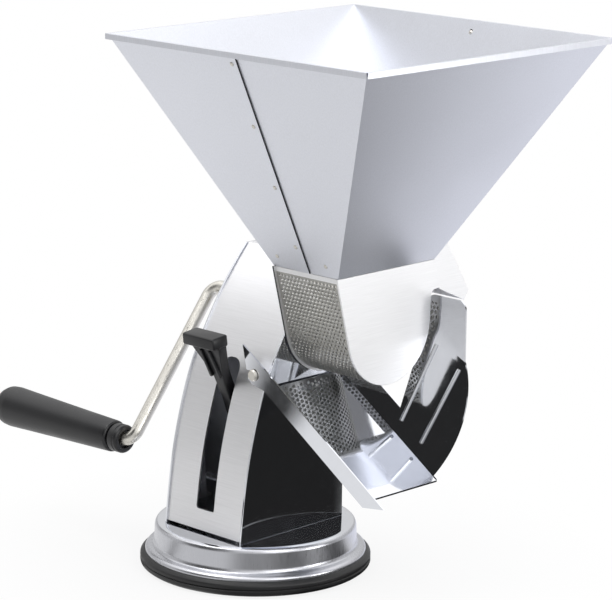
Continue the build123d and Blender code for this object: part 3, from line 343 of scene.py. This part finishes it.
# %% Rubber and plastics
def moulded(name, hex_dark, hex_light, rough, grain_mm, dent):
    """Moulded plastic or rubber: a fine spark-eroded grain and slightly uneven gloss."""
    material, tree = start_material(name)
    place = add_node(tree, "ShaderNodeTexCoord")
    grain = add_node(tree, "ShaderNodeTexNoise", {"Scale": 1 / (grain_mm * MM), "Detail": 3.0},
                     {"Vector": place.outputs["Object"]})
    cloud = add_node(tree, "ShaderNodeTexNoise", {"Scale": 1 / (18 * MM), "Detail": 3.0},
                     {"Vector": place.outputs["Object"]})
    tone = ramp(tree, [(0.3, hex_linear(hex_dark)), (0.7, hex_linear(hex_light))], cloud.outputs["Fac"])
    gloss = add_node(tree, "ShaderNodeMapRange", {"From Min": 0.3, "From Max": 0.7,
                     "To Min": rough - 0.05, "To Max": rough + 0.07}, {"Value": cloud.outputs["Fac"]})
    relief = add_node(tree, "ShaderNodeBump", {"Strength": dent, "Distance": 0.05 * MM},
                      {"Height": grain.outputs["Fac"]})
    body = add_node(tree, "ShaderNodeBsdfPrincipled", {"IOR": 1.5},
                    {"Base Color": tone, "Roughness": gloss.outputs["Result"],
                     "Normal": relief.outputs["Normal"]})
    end_material(tree, body)
    return material


black_rubber = moulded("black_moulded_rubber", "#0C0C0D", "#161618", 0.50, 0.5, 0.25)
black_abs = moulded("black_moulded_abs", "#101012", "#18181B", 0.38, 0.45, 0.18)
white_nylon = moulded("white_moulded_nylon", "#DAD8D0", "#E6E4DE", 0.45, 0.5, 0.15)
pale_silicone = moulded("pale_food_silicone", "#CFCBC0", "#DAD6CC", 0.55, 0.6, 0.2)
print("moulded:", [finish.name for finish in (black_rubber, black_abs, white_nylon, pale_silicone)])

# %% [markdown]
# ## Modelling by hand
# Each new piece starts as a primitive at its place, is shaped in edit mode, and ends as a mesh whose object
# lies at the origin, so that it can ride on a CAD body.  All sizes below are in mm, as in the drawing.



# %% Helpers for picking and for turned pieces
def deselect():
    """Nothing is selected and nothing is in edit mode."""
    if bpy.context.object and bpy.context.object.mode != "OBJECT":
        bpy.ops.object.mode_set(mode="OBJECT")
    bpy.ops.object.select_all(action="DESELECT")


def name_piece(name):
    """Names the active object and puts its place into its mesh."""
    piece = bpy.context.active_object
    piece.name = name
    piece.data.name = name
    bpy.ops.object.transform_apply(location=True, rotation=True, scale=True)
    return piece


def pick(piece, kind, test):
    """In edit mode, selects the verts, edges or faces whose middle, in mm, passes the test."""
    bpy.ops.mesh.select_mode(type={"verts": "VERT", "edges": "EDGE", "faces": "FACE"}[kind])
    bpy.ops.mesh.select_all(action="DESELECT")
    shape = bmesh.from_edit_mesh(piece.data)
    count = 0
    for part in getattr(shape, kind):
        corners = [part] if kind == "verts" else part.verts
        middle = sum((v.co for v in corners), Vector()) / (len(corners) * MM)
        if test(middle, part):
            part.select_set(True)
            count += 1
    shape.select_flush_mode()
    bmesh.update_edit_mesh(piece.data)
    return count


def push(x=0.0, y=0.0, z=0.0):
    """Extrudes what is selected by a step in mm."""
    bpy.ops.mesh.extrude_region_move(TRANSFORM_OT_translate={"value": (x * MM, y * MM, z * MM)})


def finish_piece(piece, body, nodes_replaced, material, smooth=35):
    """Smooth shading, finish, body and CAD node of a finished piece."""
    deselect()
    piece.select_set(True)
    bpy.context.view_layer.objects.active = piece
    bpy.ops.object.shade_smooth_by_angle(angle=math.radians(smooth))
    piece.data.materials.clear()
    piece.data.materials.append(material)
    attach(piece, body)
    for node in nodes_replaced:
        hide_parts(node)
    deselect()
    print(piece.name, "on", body, "with", len(piece.data.polygons), "faces")


def turned(name, line, soft=(), radius=0.8, steps=96, closed=True):
    """Draws a half profile of (radius, height) points in mm and spins it about Z.

    The corners whose numbers are in soft are rounded first.
    """
    deselect()
    bpy.ops.mesh.primitive_plane_add(size=MM, location=(line[0][0] * MM, 0, line[0][1] * MM))
    piece = name_piece(name)
    bpy.ops.object.mode_set(mode="EDIT")
    bpy.ops.mesh.select_mode(type="VERT")
    bpy.ops.mesh.select_all(action="SELECT")
    bpy.ops.mesh.merge(type="CENTER")
    for (r0, h0), (r1, h1) in zip(line, line[1:]):
        push(x=r1 - r0, z=h1 - h0)
    if closed:
        first, last = line[0], line[-1]
        pick(piece, "verts", lambda m, part: min((m.x - p[0]) ** 2 + (m.z - p[1]) ** 2
                                                 for p in (first, last)) < 1e-6)
        bpy.ops.mesh.edge_face_add()
    corners = [line[n] for n in soft]
    if corners:
        pick(piece, "verts", lambda m, part: any(
            (m.x - r) ** 2 + (m.z - h) ** 2 < 1e-6 for r, h in corners))
        bpy.ops.mesh.bevel(offset=radius * MM, segments=4, affect="VERTICES", clamp_overlap=True)
    bpy.ops.mesh.select_all(action="SELECT")
    bpy.ops.mesh.spin(steps=steps, angle=2 * math.pi, center=(0, 0, 0), axis=(0, 0, 1))
    bpy.ops.mesh.select_all(action="SELECT")
    bpy.ops.mesh.remove_doubles(threshold=0.01 * MM)
    bpy.ops.mesh.normals_make_consistent(inside=False)
    bpy.ops.object.mode_set(mode="OBJECT")
    return piece


def lay_along_x(piece, x, y, z):
    """Turns a piece spun about Z so that its height runs along -X from the given place."""
    piece.matrix_world = Matrix.Translation(Vector((x, y, z)) * MM) @ Matrix.Rotation(-math.pi / 2, 4, "Y")
    deselect()
    piece.select_set(True)
    bpy.context.view_layer.objects.active = piece
    bpy.ops.object.transform_apply(location=True, rotation=True, scale=True)


# %% [markdown]
# ## The suction pad
# The pad is a rubber disc with a thick bead round its edge and a shallow groove in the bead.  A cylinder
# with loops cut into it would do, but the pad is a body of revolution, so its half profile is drawn and
# spun.

# %% Suction pad
pad = turned("rubber_suction_pad",
             [(0.0, 0.0), (67.6, 0.0), (70.0, 1.8), (70.0, 3.7), (69.3, 4.3), (70.0, 4.9), (70.0, 6.9),
              (67.8, 9.0), (59.6, 9.0), (57.2, 7.8), (55.6, 4.5), (0.0, 4.5)],
             soft=(1, 2, 6, 7, 8, 9), radius=0.7, closed=False)
finish_piece(pad, "stand", ["suction_pad"], black_rubber)

# %% [markdown]
# ## The spun cup
# The real cup is spun from a steel disc over a form, and it's drawn and spun in the same way here.  Its
# rounded corners matter: they are the thin bright lines that the eye reads as sheet metal.  The flat top is
# polished, so it takes a second finish.

# %% Spun cup
cup = turned("spun_base_cup",
             [(67.0, 9.0), (67.0, 10.3), (65.6, 11.6), (62.4, 12.4), (61.5, 14.2), (61.1, 24.6),
              (60.2, 26.4), (57.6, 27.0), (6.0, 27.0), (6.0, 25.8), (57.2, 25.8), (59.2, 25.1),
              (59.9, 23.9), (60.3, 13.6), (61.6, 11.3), (65.6, 9.8), (65.8, 9.0)],
             soft=(1, 2, 3, 4, 5, 6, 7), radius=0.7, steps=128)
finish_piece(cup, "stand", ["base_cup"], cup_steel_shade_toned)
cup.data.materials.append(mirror_sheet)
for face in cup.data.polygons:
    if face.normal.z > 0.94 and face.center.z > 0.02:
        face.material_index = 1
print("polished faces on the cup:", sum(face.material_index for face in cup.data.polygons))

# %% [markdown]
# ## The strainer sheet
# The real sheet is punched flat and then rolled into a trough.  Cutting a thousand holes out of a curved
# sheet would be slow and would leave bad faces, so the maker's order is kept: first the flat sheet, then
# the bend.  For the bend, the trough's profile is written as a function of the length along the sheet.

# %% The trough's profile as a length along the sheet
shaft_y, shaft_z = 26.0, 157.0
trough_r = 34.0
front_lean, back_lean = math.radians(14.5), math.radians(3.0)
screen_top, lip_top = 188.5, 170.0
screen_x0, screen_x1 = 33.4, 82.8
front_run = (screen_top - shaft_z + trough_r * math.sin(front_lean)) / math.cos(front_lean)
round_run = trough_r * (math.pi - front_lean - back_lean)
back_run = (lip_top - shaft_z + trough_r * math.sin(back_lean)) / math.cos(back_lean)
sheet_run = front_run + round_run + back_run


def rolled(run):
    """Y and Z of the sheet's outside at a length along it, from the top of the front wall."""
    if run < front_run:
        a = math.pi + front_lean
        left = front_run - run
        y = shaft_y + trough_r * math.cos(a) - left * math.sin(front_lean)
        return y, shaft_z + trough_r * math.sin(a) + left * math.cos(front_lean)
    if run < front_run + round_run:
        a = math.pi + front_lean + (run - front_run) / trough_r
        return shaft_y + trough_r * math.cos(a), shaft_z + trough_r * math.sin(a)
    a = 2 * math.pi - back_lean
    left = run - front_run - round_run
    y = shaft_y + trough_r * math.cos(a) + left * math.sin(back_lean)
    return y, shaft_z + trough_r * math.sin(a) + left * math.cos(back_lean)


print("sheet is", round(sheet_run, 1), "mm along the profile")

# %% [markdown]
# ## A row of holes
# One hole with its share of the sheet is a ring of twelve quads.  An array repeats the ring along the row,
# and the ends are pushed out to the plain borders.  The next row has one hole less, so that it lies
# staggered, as in punched sheet.

# %% One row of holes
hole_pitch = 2.8
hole_r = 1.0
row_pitch = hole_pitch * math.sqrt(3) / 2
row_holes = 17
sheet_w = screen_x1 - screen_x0
cell_edge = {0: (0.5, 0), 1: (0.5, 0.5), 2: (0.25, 0.5), 3: (0, 0.5), 4: (-0.25, 0.5), 5: (-0.5, 0.5),
             6: (-0.5, 0), 7: (-0.5, -0.5), 8: (-0.25, -0.5), 9: (0, -0.5), 10: (0.25, -0.5), 11: (0.5, -0.5)}


def array_along(piece, axis, step, count):
    """Applied array: count copies, step mm apart, with their shared corners merged."""
    array = piece.modifiers.new("repeat", "ARRAY")
    array.count = count
    array.use_relative_offset = False
    array.use_constant_offset = True
    array.constant_offset_displace = [step * MM if n == axis else 0.0 for n in range(3)]
    array.use_merge_vertices = True
    array.merge_threshold = 0.02 * MM
    bpy.ops.object.modifier_apply(modifier=array.name)


def hole_row(name, holes, borders):
    """Flat row of holes about the origin, widened at both ends by the border steps."""
    deselect()
    bpy.ops.mesh.primitive_circle_add(vertices=12, radius=hole_r * MM, fill_type="NOTHING")
    row = name_piece(name)
    bpy.ops.object.mode_set(mode="EDIT")
    bpy.ops.mesh.select_all(action="SELECT")
    push()
    shape = bmesh.from_edit_mesh(row.data)
    for v in shape.verts:
        if v.select:
            around = round(math.degrees(math.atan2(v.co.y, v.co.x)) / 30) % 12
            u, w = cell_edge[around]
            v.co = Vector((u * hole_pitch, w * row_pitch, 0)) * MM
    bmesh.update_edit_mesh(row.data)
    bpy.ops.object.mode_set(mode="OBJECT")
    array_along(row, 0, hole_pitch, holes)
    row.location.x = -(holes - 1) * hole_pitch / 2 * MM
    bpy.ops.object.transform_apply(location=True, rotation=True, scale=True)
    bpy.ops.object.mode_set(mode="EDIT")
    for side in (-1, 1):
        end = holes * hole_pitch / 2
        for step in borders:
            pick(row, "edges", lambda m, part: abs(m.x - side * end) < 0.01 and abs(m.y) > 0.01)
            push(x=side * step)
            end += step
    bpy.ops.object.mode_set(mode="OBJECT")
    return row


side_border = (sheet_w - row_holes * hole_pitch) / 2
screen = hole_row("punched_screen", row_holes, [side_border])
second = hole_row("second_row", row_holes - 1, [hole_pitch / 4, hole_pitch / 4, side_border])
second.location.y = row_pitch * MM
print("rows of", row_holes, "and", row_holes - 1, "holes")

# %% [markdown]
# ## Rolling the sheet
# The two rows are joined and repeated to the whole length, the long borders are added, and every point then
# moves from its place on the flat sheet to its place on the profile.  Thickness comes last, so that it's
# the same all round.

# %% Rows to a sheet, sheet to a trough
deselect()
second.select_set(True)
screen.select_set(True)
bpy.context.view_layer.objects.active = screen
bpy.ops.object.transform_apply(location=True, rotation=True, scale=True)
bpy.ops.object.join()
screen = bpy.context.active_object
bpy.ops.object.mode_set(mode="EDIT")
bpy.ops.mesh.select_all(action="SELECT")
bpy.ops.mesh.remove_doubles(threshold=0.02 * MM)
bpy.ops.object.mode_set(mode="OBJECT")
pairs = int((sheet_run - 6.0) / (2 * row_pitch))
array_along(screen, 1, 2 * row_pitch, pairs)
top_border = 1.0
low_border = sheet_run - 2 * pairs * row_pitch - top_border
bpy.ops.object.mode_set(mode="EDIT")
for low in (True, False):
    edge_y = -row_pitch / 2 if low else (2 * pairs - 0.5) * row_pitch
    pick(screen, "edges", lambda m, part: abs(m.y - edge_y) < 0.01)
    push(y=-top_border if low else low_border)
bpy.ops.object.mode_set(mode="OBJECT")
start_y = -row_pitch / 2 - top_border
middle_x = (screen_x0 + screen_x1) / 2
for v in screen.data.vertices:
    y, z = rolled(v.co.y / MM - start_y)
    v.co = Vector((v.co.x / MM + middle_x, y, z)) * MM
bpy.ops.object.mode_set(mode="EDIT")
bpy.ops.mesh.select_all(action="SELECT")
bpy.ops.mesh.normals_make_consistent(inside=False)
shape = bmesh.from_edit_mesh(screen.data)
lowest = min(shape.faces, key=lambda f: f.calc_center_median().z)
if lowest.normal.z > 0:
    bpy.ops.mesh.flip_normals()
bpy.ops.object.mode_set(mode="OBJECT")
wall = screen.modifiers.new("sheet", "SOLIDIFY")
wall.thickness = 0.9 * MM
wall.offset = -1
bpy.ops.object.modifier_apply(modifier=wall.name)
finish_piece(screen, "stand", ["trough_screen"], screen_steel_shade_toned, smooth=25)
print("holes:", pairs * (2 * row_holes - 1))

# %% [markdown]
# ## The crank
# The rod is one drawn bar, cold-bent twice.  A ring of points is pushed along the shaft, spun a quarter
# turn about the middle of the bend, pushed down the arm, spun back and pushed out to the end of the grip:
# exactly what the bending machine does.

# %% Bent crank rod
rod_r = 4.0
bend_r = 8.0
arm_x = -65.0
grip_y, grip_z = -42.0, 70.0
rod_start, rod_end = -5.5, -171.2
arm_dir = Vector((0, grip_y - shaft_y, grip_z - shaft_z))
arm_len = arm_dir.length
arm_dir.normalize()
deselect()
bpy.ops.mesh.primitive_circle_add(vertices=32, radius=rod_r * MM, fill_type="NGON",
                                  location=(rod_start * MM, shaft_y * MM, shaft_z * MM),
                                  rotation=(0, math.pi / 2, 0))
rod = name_piece("bent_crank_rod")
bpy.ops.object.mode_set(mode="EDIT")
bpy.ops.mesh.select_all(action="SELECT")
bend_axis = Vector((0, arm_dir.z, -arm_dir.y))
push(x=arm_x + bend_r - rod_start)
first_middle = Vector((arm_x + bend_r, shaft_y, shaft_z)) + arm_dir * bend_r
bpy.ops.mesh.spin(steps=14, angle=math.pi / 2, center=first_middle * MM, axis=-bend_axis,
                  use_auto_merge=False)
arm_run = arm_dir * (arm_len - 2 * bend_r)
push(*arm_run)
second_middle = Vector((arm_x - bend_r, grip_y, grip_z)) - arm_dir * bend_r
bpy.ops.mesh.spin(steps=14, angle=math.pi / 2, center=second_middle * MM, axis=bend_axis,
                  use_auto_merge=False)
push(x=rod_end - (arm_x - bend_r))
bpy.ops.mesh.bevel(offset=0.6 * MM, segments=2, affect="EDGES")
bpy.ops.mesh.select_all(action="SELECT")
bpy.ops.mesh.normals_make_consistent(inside=False)
bpy.ops.object.mode_set(mode="OBJECT")
finish_piece(rod, "rotor", ["crank_arm"], bright_bar)

# %% [markdown]
# ## The grip
# The grip is moulded, thicker towards its outer end, and turns on the rod.  A push nut holds it, and a plug
# closes its end.  All of its sections are round, so the grip, the plug and the collar at the rod's bend are
# spun profiles that are then laid along the rod.

# %% Turned grip
grip_x0, grip_len = -80.0, 104.7
grip_shape = turned("turned_grip",
                    [(4.05, 0.0), (8.6, 0.0), (9.8, 1.0), (10.35, 20.0), (11.2, 48.0), (12.2, 78.0),
                     (12.8, 94.0), (12.4, 99.2), (10.4, 103.2), (7.3, grip_len), (7.3, 88.7), (4.05, 88.7)],
                    soft=(1, 2, 6, 7, 8, 9), radius=1.4)
lay_along_x(grip_shape, grip_x0, grip_y, grip_z)
finish_piece(grip_shape, "handgrip", ["grip"], black_abs, smooth=50)

plug = turned("grip_end_plug", [(0.0, 97.9), (6.95, 97.9), (6.95, 104.2), (5.9, 104.65), (0.0, 104.5)],
              soft=(2, 3), radius=0.4, steps=64, closed=False)
lay_along_x(plug, grip_x0, grip_y, grip_z)
finish_piece(plug, "handgrip", ["grip_plug"], black_abs)

ferrule = turned("grip_collar",
                 [(4.0, -0.3), (7.4, -0.3), (8.8, -1.4), (8.8, -5.2), (8.3, -5.8), (8.8, -6.4), (8.8, -8.2),
                  (7.6, -9.3), (5.6, -9.3), (5.4, -6.9), (4.0, -6.9)],
                 soft=(1, 2, 6, 7, 8), radius=0.5, steps=64)
lay_along_x(ferrule, grip_x0, grip_y, grip_z)
finish_piece(ferrule, "rotor", ["grip_ferrule"], black_abs)

# %% [markdown]
# ## The suction lever
# The lever is one moulding of black plastic.  It's modelled lying down along Y with its pivot at the
# origin, as it would lie in the mould, and is turned to its rest angle at the end.

# %% Arm and thumb head
pivot_z = 62.0
lever_turn = math.radians(180.0 - 64.6)
deselect()
bpy.ops.mesh.primitive_cube_add(size=1, location=(0, 0.0165, 0))
lever = name_piece("moulded_suction_lever")
bpy.ops.object.mode_set(mode="EDIT")
bpy.ops.mesh.select_all(action="SELECT")
bpy.ops.transform.resize(value=(12.8 * MM, 5 * MM, 11 * MM), center_override=(0, 16.5 * MM, 0))


def grow_arm(step, width, height, lift):
    """Pushes the selected end face out along the arm and gives it a new size."""
    push(y=step, z=lift)
    shape = bmesh.from_edit_mesh(lever.data)
    ends = [v for v in shape.verts if v.select]
    middle = sum((v.co for v in ends), Vector()) / len(ends)
    for v in ends:
        v.co.x = math.copysign(width / 2 * MM, v.co.x)
        v.co.z = middle.z + math.copysign(height / 2 * MM, v.co.z - middle.z)
    bmesh.update_edit_mesh(lever.data)


pick(lever, "faces", lambda m, part: m.y > 18.5)
for station in [(15.0, 9.0, 9.0, 0.0), (16.0, 7.0, 8.0, 0.0), (9.0, 7.2, 7.4, 0.0), (8.0, 8.6, 7.0, 0.1),
                (9.0, 14.0, 7.0, 0.5), (9.0, 21.0, 7.0, 0.6), (5.5, 25.0, 7.0, 0.3)]:
    grow_arm(*station)
bpy.ops.mesh.select_all(action="SELECT")
bpy.ops.mesh.normals_make_consistent(inside=False)
bpy.ops.object.mode_set(mode="OBJECT")
edge = lever.modifiers.new("mould_edges", "BEVEL")
edge.width = 1.0 * MM
edge.segments = 3
edge.limit_method = "ANGLE"
edge.angle_limit = math.radians(40)
bpy.context.view_layer.objects.active = lever
bpy.ops.object.modifier_apply(modifier=edge.name)


def rounded_block(name, size, at, tilt, width):
    """Box of a size in mm with rounded edges, tilted about X."""
    deselect()
    bpy.ops.mesh.primitive_cube_add(size=1, location=Vector(at) * MM, rotation=(math.radians(tilt), 0, 0))
    block = bpy.context.active_object
    block.scale = Vector(size) * MM
    name_piece(name)
    round_off = block.modifiers.new("round_off", "BEVEL")
    round_off.width = width * MM
    round_off.segments = 3
    bpy.ops.object.modifier_apply(modifier=round_off.name)
    return block


thumb = rounded_block("thumb_bar", (26.4, 7.2, 12.4), (0, 94.0, 2.5), -18.0, 1.3)
ribs = [rounded_block("rib", (2.0, 20.0, 2.2), (x, 78.0, 4.9), 2.0, 0.6) for x in (-3.6, 3.6)]

# %% [markdown]
# ## The lever's hub
# At its lower end the lever forks into two round cheeks on the pivot pin.  Between them sits the cam, a disc
# whose middle lies 3 mm off the pin, so that swinging the lever lifts the stem.  Each cheek is a disc with an
# inset ring on its flat faces, and all of it is joined to the arm, because the real lever is one moulding.

# %% Hub with its two cheeks and the cam
cheek_r, cheek_w, cheek_x = 11.0, 3.2, 4.8
cam_offset, cam_start = 3.0, math.radians(-37.5)
cheeks = []
for x0 in (-cheek_x, cheek_x):
    deselect()
    bpy.ops.mesh.primitive_cylinder_add(vertices=64, radius=cheek_r * MM, depth=cheek_w * MM,
                                        location=(x0 * MM, 0, 0), rotation=(0, math.pi / 2, 0))
    cheek = name_piece("cheek")
    bpy.ops.object.mode_set(mode="EDIT")
    pick(cheek, "faces", lambda m, part: abs(part.normal.x) > 0.9)
    bpy.ops.mesh.inset(thickness=2.2 * MM)
    bpy.ops.mesh.select_all(action="SELECT")
    bpy.ops.mesh.bevel(offset=0.35 * MM, segments=2)
    bpy.ops.object.mode_set(mode="OBJECT")
    cheeks.append(cheek)
    cheeks.append(rounded_block("cheek_arm", (cheek_w, 18.0, 11.0), (x0, 9.5, 0), 0.0, 0.5))
deselect()
cam_place = Vector((0, cam_offset * math.cos(cam_start), cam_offset * math.sin(cam_start)))
cam_place.rotate(Matrix.Rotation(-lever_turn, 3, "X"))
bpy.ops.mesh.primitive_cylinder_add(vertices=48, radius=7.0 * MM, depth=6.8 * MM, location=cam_place * MM,
                                    rotation=(0, math.pi / 2, 0))
cam = name_piece("cam")
bpy.ops.object.mode_set(mode="EDIT")
bpy.ops.mesh.select_all(action="SELECT")
bpy.ops.mesh.bevel(offset=0.2 * MM, segments=1)
bpy.ops.object.mode_set(mode="OBJECT")
deselect()
for part in [thumb, cam] + ribs + cheeks:
    part.select_set(True)
lever.select_set(True)
bpy.context.view_layer.objects.active = lever
bpy.ops.object.join()
lever.matrix_world = Matrix.Translation((0, 0, pivot_z * MM)) @ Matrix.Rotation(lever_turn, 4, "X")
bpy.ops.object.transform_apply(location=True, rotation=True, scale=True)
finish_piece(lever, "lever", ["suction_lever"], black_abs)

# %% [markdown]
# ## Sheet metal with eased edges
# Shears and folding tools leave every sheet edge slightly round, and that edge is what glints.  The flat sheets
# could be drawn again, but their outlines already stand in the CAD.  So a copy of each has its triangles merged
# back to flat faces and its sharp edges bevelled by a few tenths of a mm.  The cut edges at the hopper's seams
# and round the crank-side plate are coloured near black: painted shade for the thin dark shadow lines along
# them.


# %% Eased copies of the CAD sheets
def eased(node, body, material, width=0.25):
    """Copy of a CAD sheet with a small round on every sharp edge; it stands for that sheet."""
    deselect()
    piece = bpy.data.objects.new(node + "_eased", nodes[node].data.copy())
    bpy.context.scene.collection.objects.link(piece)
    piece.select_set(True)
    bpy.context.view_layer.objects.active = piece
    bpy.ops.object.mode_set(mode="EDIT")
    bpy.ops.mesh.select_all(action="SELECT")
    bpy.ops.mesh.remove_doubles(threshold=0.005 * MM)
    bpy.ops.mesh.dissolve_limited(angle_limit=math.radians(0.6))
    bpy.ops.object.mode_set(mode="OBJECT")
    soft_edge = piece.modifiers.new("eased", "BEVEL")
    soft_edge.width = width * MM
    soft_edge.segments = 2
    soft_edge.limit_method = "ANGLE"
    soft_edge.angle_limit = math.radians(32)
    soft_edge.use_clamp_overlap = True
    bpy.ops.object.modifier_apply(modifier=soft_edge.name)
    finish_piece(piece, body, [node], material, smooth=60)
    piece.select_set(True)
    bpy.context.view_layer.objects.active = piece
    flat_faces = piece.modifiers.new("flat_faces", "WEIGHTED_NORMAL")
    flat_faces.weight = 100
    flat_faces.keep_sharp = True
    bpy.ops.object.modifier_apply(modifier=flat_faces.name)
    deselect()
    return piece


def paint_edge_shade(piece, test):
    """Paints a near-black colour, painted shade, on the faces whose normal and middle, in mm, pass the test."""
    piece.data.materials.append(edge_shade_paint)
    for face in piece.data.polygons:
        if test(face.normal, face.center / MM):
            face.material_index = 1


for node, slot, material in [
        ("column_front", "satin_steel", column_satin), ("column_trough_plate", "bright_steel", mirror_sheet),
        ("column_crank_plate", "bright_steel", mirror_sheet), ("column_back", "satin_steel", column_satin),
        ("trough_end_plate", "satin_steel", plate_satin), ("skin_hood", "bright_steel", plate_satin)]:
    eased(node, "stand", material)
rim = eased("trough_crank_plate", "stand", plate_satin)
# Painted shade: the plate's edge faces are coloured near black.
paint_edge_shade(rim, lambda normal, middle: abs(normal.x) < 0.5)
for node in ("hopper_crank_half", "hopper_free_half"):
    half = eased(node, "hopper", hopper_steel, width=0.3)
    # Painted shade: the lap edges along the seams are coloured near black.
    paint_edge_shade(half, lambda normal, middle: abs(normal.x) > 0.9 and 50 < middle.x < 66 and middle.z < 322)
eased("juice_tray", "tray", mirror_sheet, width=0.3)

# %% [markdown]
# ## Rivets
# Small domed rivets hold the hopper's two halves together, four up each seam and two near each lower edge.
# A whole sphere would do from afar.  A cut and flattened one seats on the sloping wall as a real head does.
# One head is modelled and copied to every place, outside and, as the closed tail, inside.

# %% Domed rivets of the hopper
low_z, top_z = 191.7, 325.0
throat_front, throat_back = -18.0, 63.5
mouth_front, mouth_back = 22.6 - 102.5, 22.6 + 102.5


def wall_y(z, back):
    """Outside of the hopper's front or back wall at a height."""
    t = (z - low_z) / (top_z - low_z)
    a, b = (throat_back, mouth_back) if back else (throat_front, mouth_front)
    return a + (b - a) * t


deselect()
bpy.ops.mesh.primitive_uv_sphere_add(segments=24, ring_count=12, radius=1.5 * MM)
dome = name_piece("rivet_dome")
bpy.ops.object.mode_set(mode="EDIT")
bpy.ops.mesh.select_all(action="SELECT")
bpy.ops.mesh.bisect(plane_co=(0, 0, 0.6 * MM), plane_no=(0, 0, 1), clear_inner=True, use_fill=False)
pick(dome, "edges", lambda m, part: len(part.link_faces) == 1)
push(z=-0.5)
bpy.ops.mesh.edge_face_add()
bpy.ops.mesh.select_all(action="SELECT")
bpy.ops.transform.translate(value=(0, 0, -0.4 * MM))
bpy.ops.transform.resize(value=(1, 1, 0.62), center_override=(0, 0, 0))
bpy.ops.mesh.normals_make_consistent(inside=False)
bpy.ops.object.mode_set(mode="OBJECT")
heads = []
seam_stations = [low_z + 16 + (top_z - 7 - low_z - 16) * k / 3 for k in range(4)]
places = [(58.0, z, 1.0) for z in seam_stations] + [(38.0, 198.5, 0.0), (77.0, 198.5, 0.0)]
tails = [(x, z, -1.0) for x, z, proud in places]
for back in (False, True):
    side = 1 if back else -1
    for x, z, proud in places + tails:
        slope = (wall_y(z + 1, back) - wall_y(z, back))
        normal = Vector((0, side, -slope * side)).normalized()
        head = dome.copy()
        head.data = dome.data.copy()
        bpy.context.scene.collection.objects.link(head)
        spot = Vector((x, wall_y(z, back) + side * proud, z)) * MM
        if proud < 0:
            normal.negate()
        head.matrix_world = Matrix.Translation(spot) @ normal.to_track_quat("Z", "Y").to_matrix().to_4x4()
        heads.append(head)
bpy.data.objects.remove(dome)
deselect()
for head in heads:
    head.select_set(True)
bpy.context.view_layer.objects.active = heads[0]
bpy.ops.object.join()
rivets = name_piece("hopper_rivet_domes")
finish_piece(rivets, "hopper", ["hopper_rivets"], bright_bar)

# %% [markdown]
# ## The CAD pieces
# Every piece of the CAD frame also gets its finish, those that a modelled piece stands for included, since
# the part can be shown without them.  The inner mechanism keeps its CAD shape: it's small and mostly out of
# sight.

# %% Dress the CAD pieces
finish_of = {
    "suction_pad": black_rubber, "base_cup": cup_steel_shade_toned, "column_front": column_satin,
    "column_crank_plate": mirror_sheet, "column_trough_plate": mirror_sheet, "column_back": column_satin,
    "foot_screws": bright_bar, "lever_bracket": column_satin, "lever_pin": bright_bar,
    "stem_guide": white_nylon, "guide_ring": bright_bar, "plunger_stem": bright_bar,
    "suction_lever": black_abs, "trough_screen": screen_steel_shade_toned, "trough_end_plate": plate_satin,
    "trough_crank_plate": plate_satin, "trough_rivets": bright_bar, "throat_collar": plate_satin,
    "skin_hood": plate_satin, "outer_bush": white_nylon, "inner_bush": white_nylon,
    "drive_shaft": bright_bar, "rotor_hub": white_nylon, "blade_wipers": pale_silicone,
    "shaft_nut": bright_bar, "crank_arm": bright_bar, "cross_pin": bright_bar, "rod_collar": bright_bar,
    "grip": black_abs, "grip_ferrule": black_abs, "grip_plug": black_abs, "push_nut": bright_bar,
    "hopper_crank_half": hopper_steel, "hopper_free_half": hopper_steel, "hopper_rivets": bright_bar,
    "hopper_spigot": plate_satin, "juice_tray": mirror_sheet, "tray_stud": bright_bar,
    "tray_rest": column_satin,
}
for name, piece in nodes.items():
    piece.data.materials.clear()
    piece.data.materials.append(finish_of[name])
print(len(nodes), "CAD pieces dressed")

# %% [markdown]
# ## Sizes
# The dressed part mustn't grow past its drawing, so its box is printed in mm.

# %% Sizes and the end
low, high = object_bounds()
print("visual box in mm:", [round(1000 * v) for v in high - low])
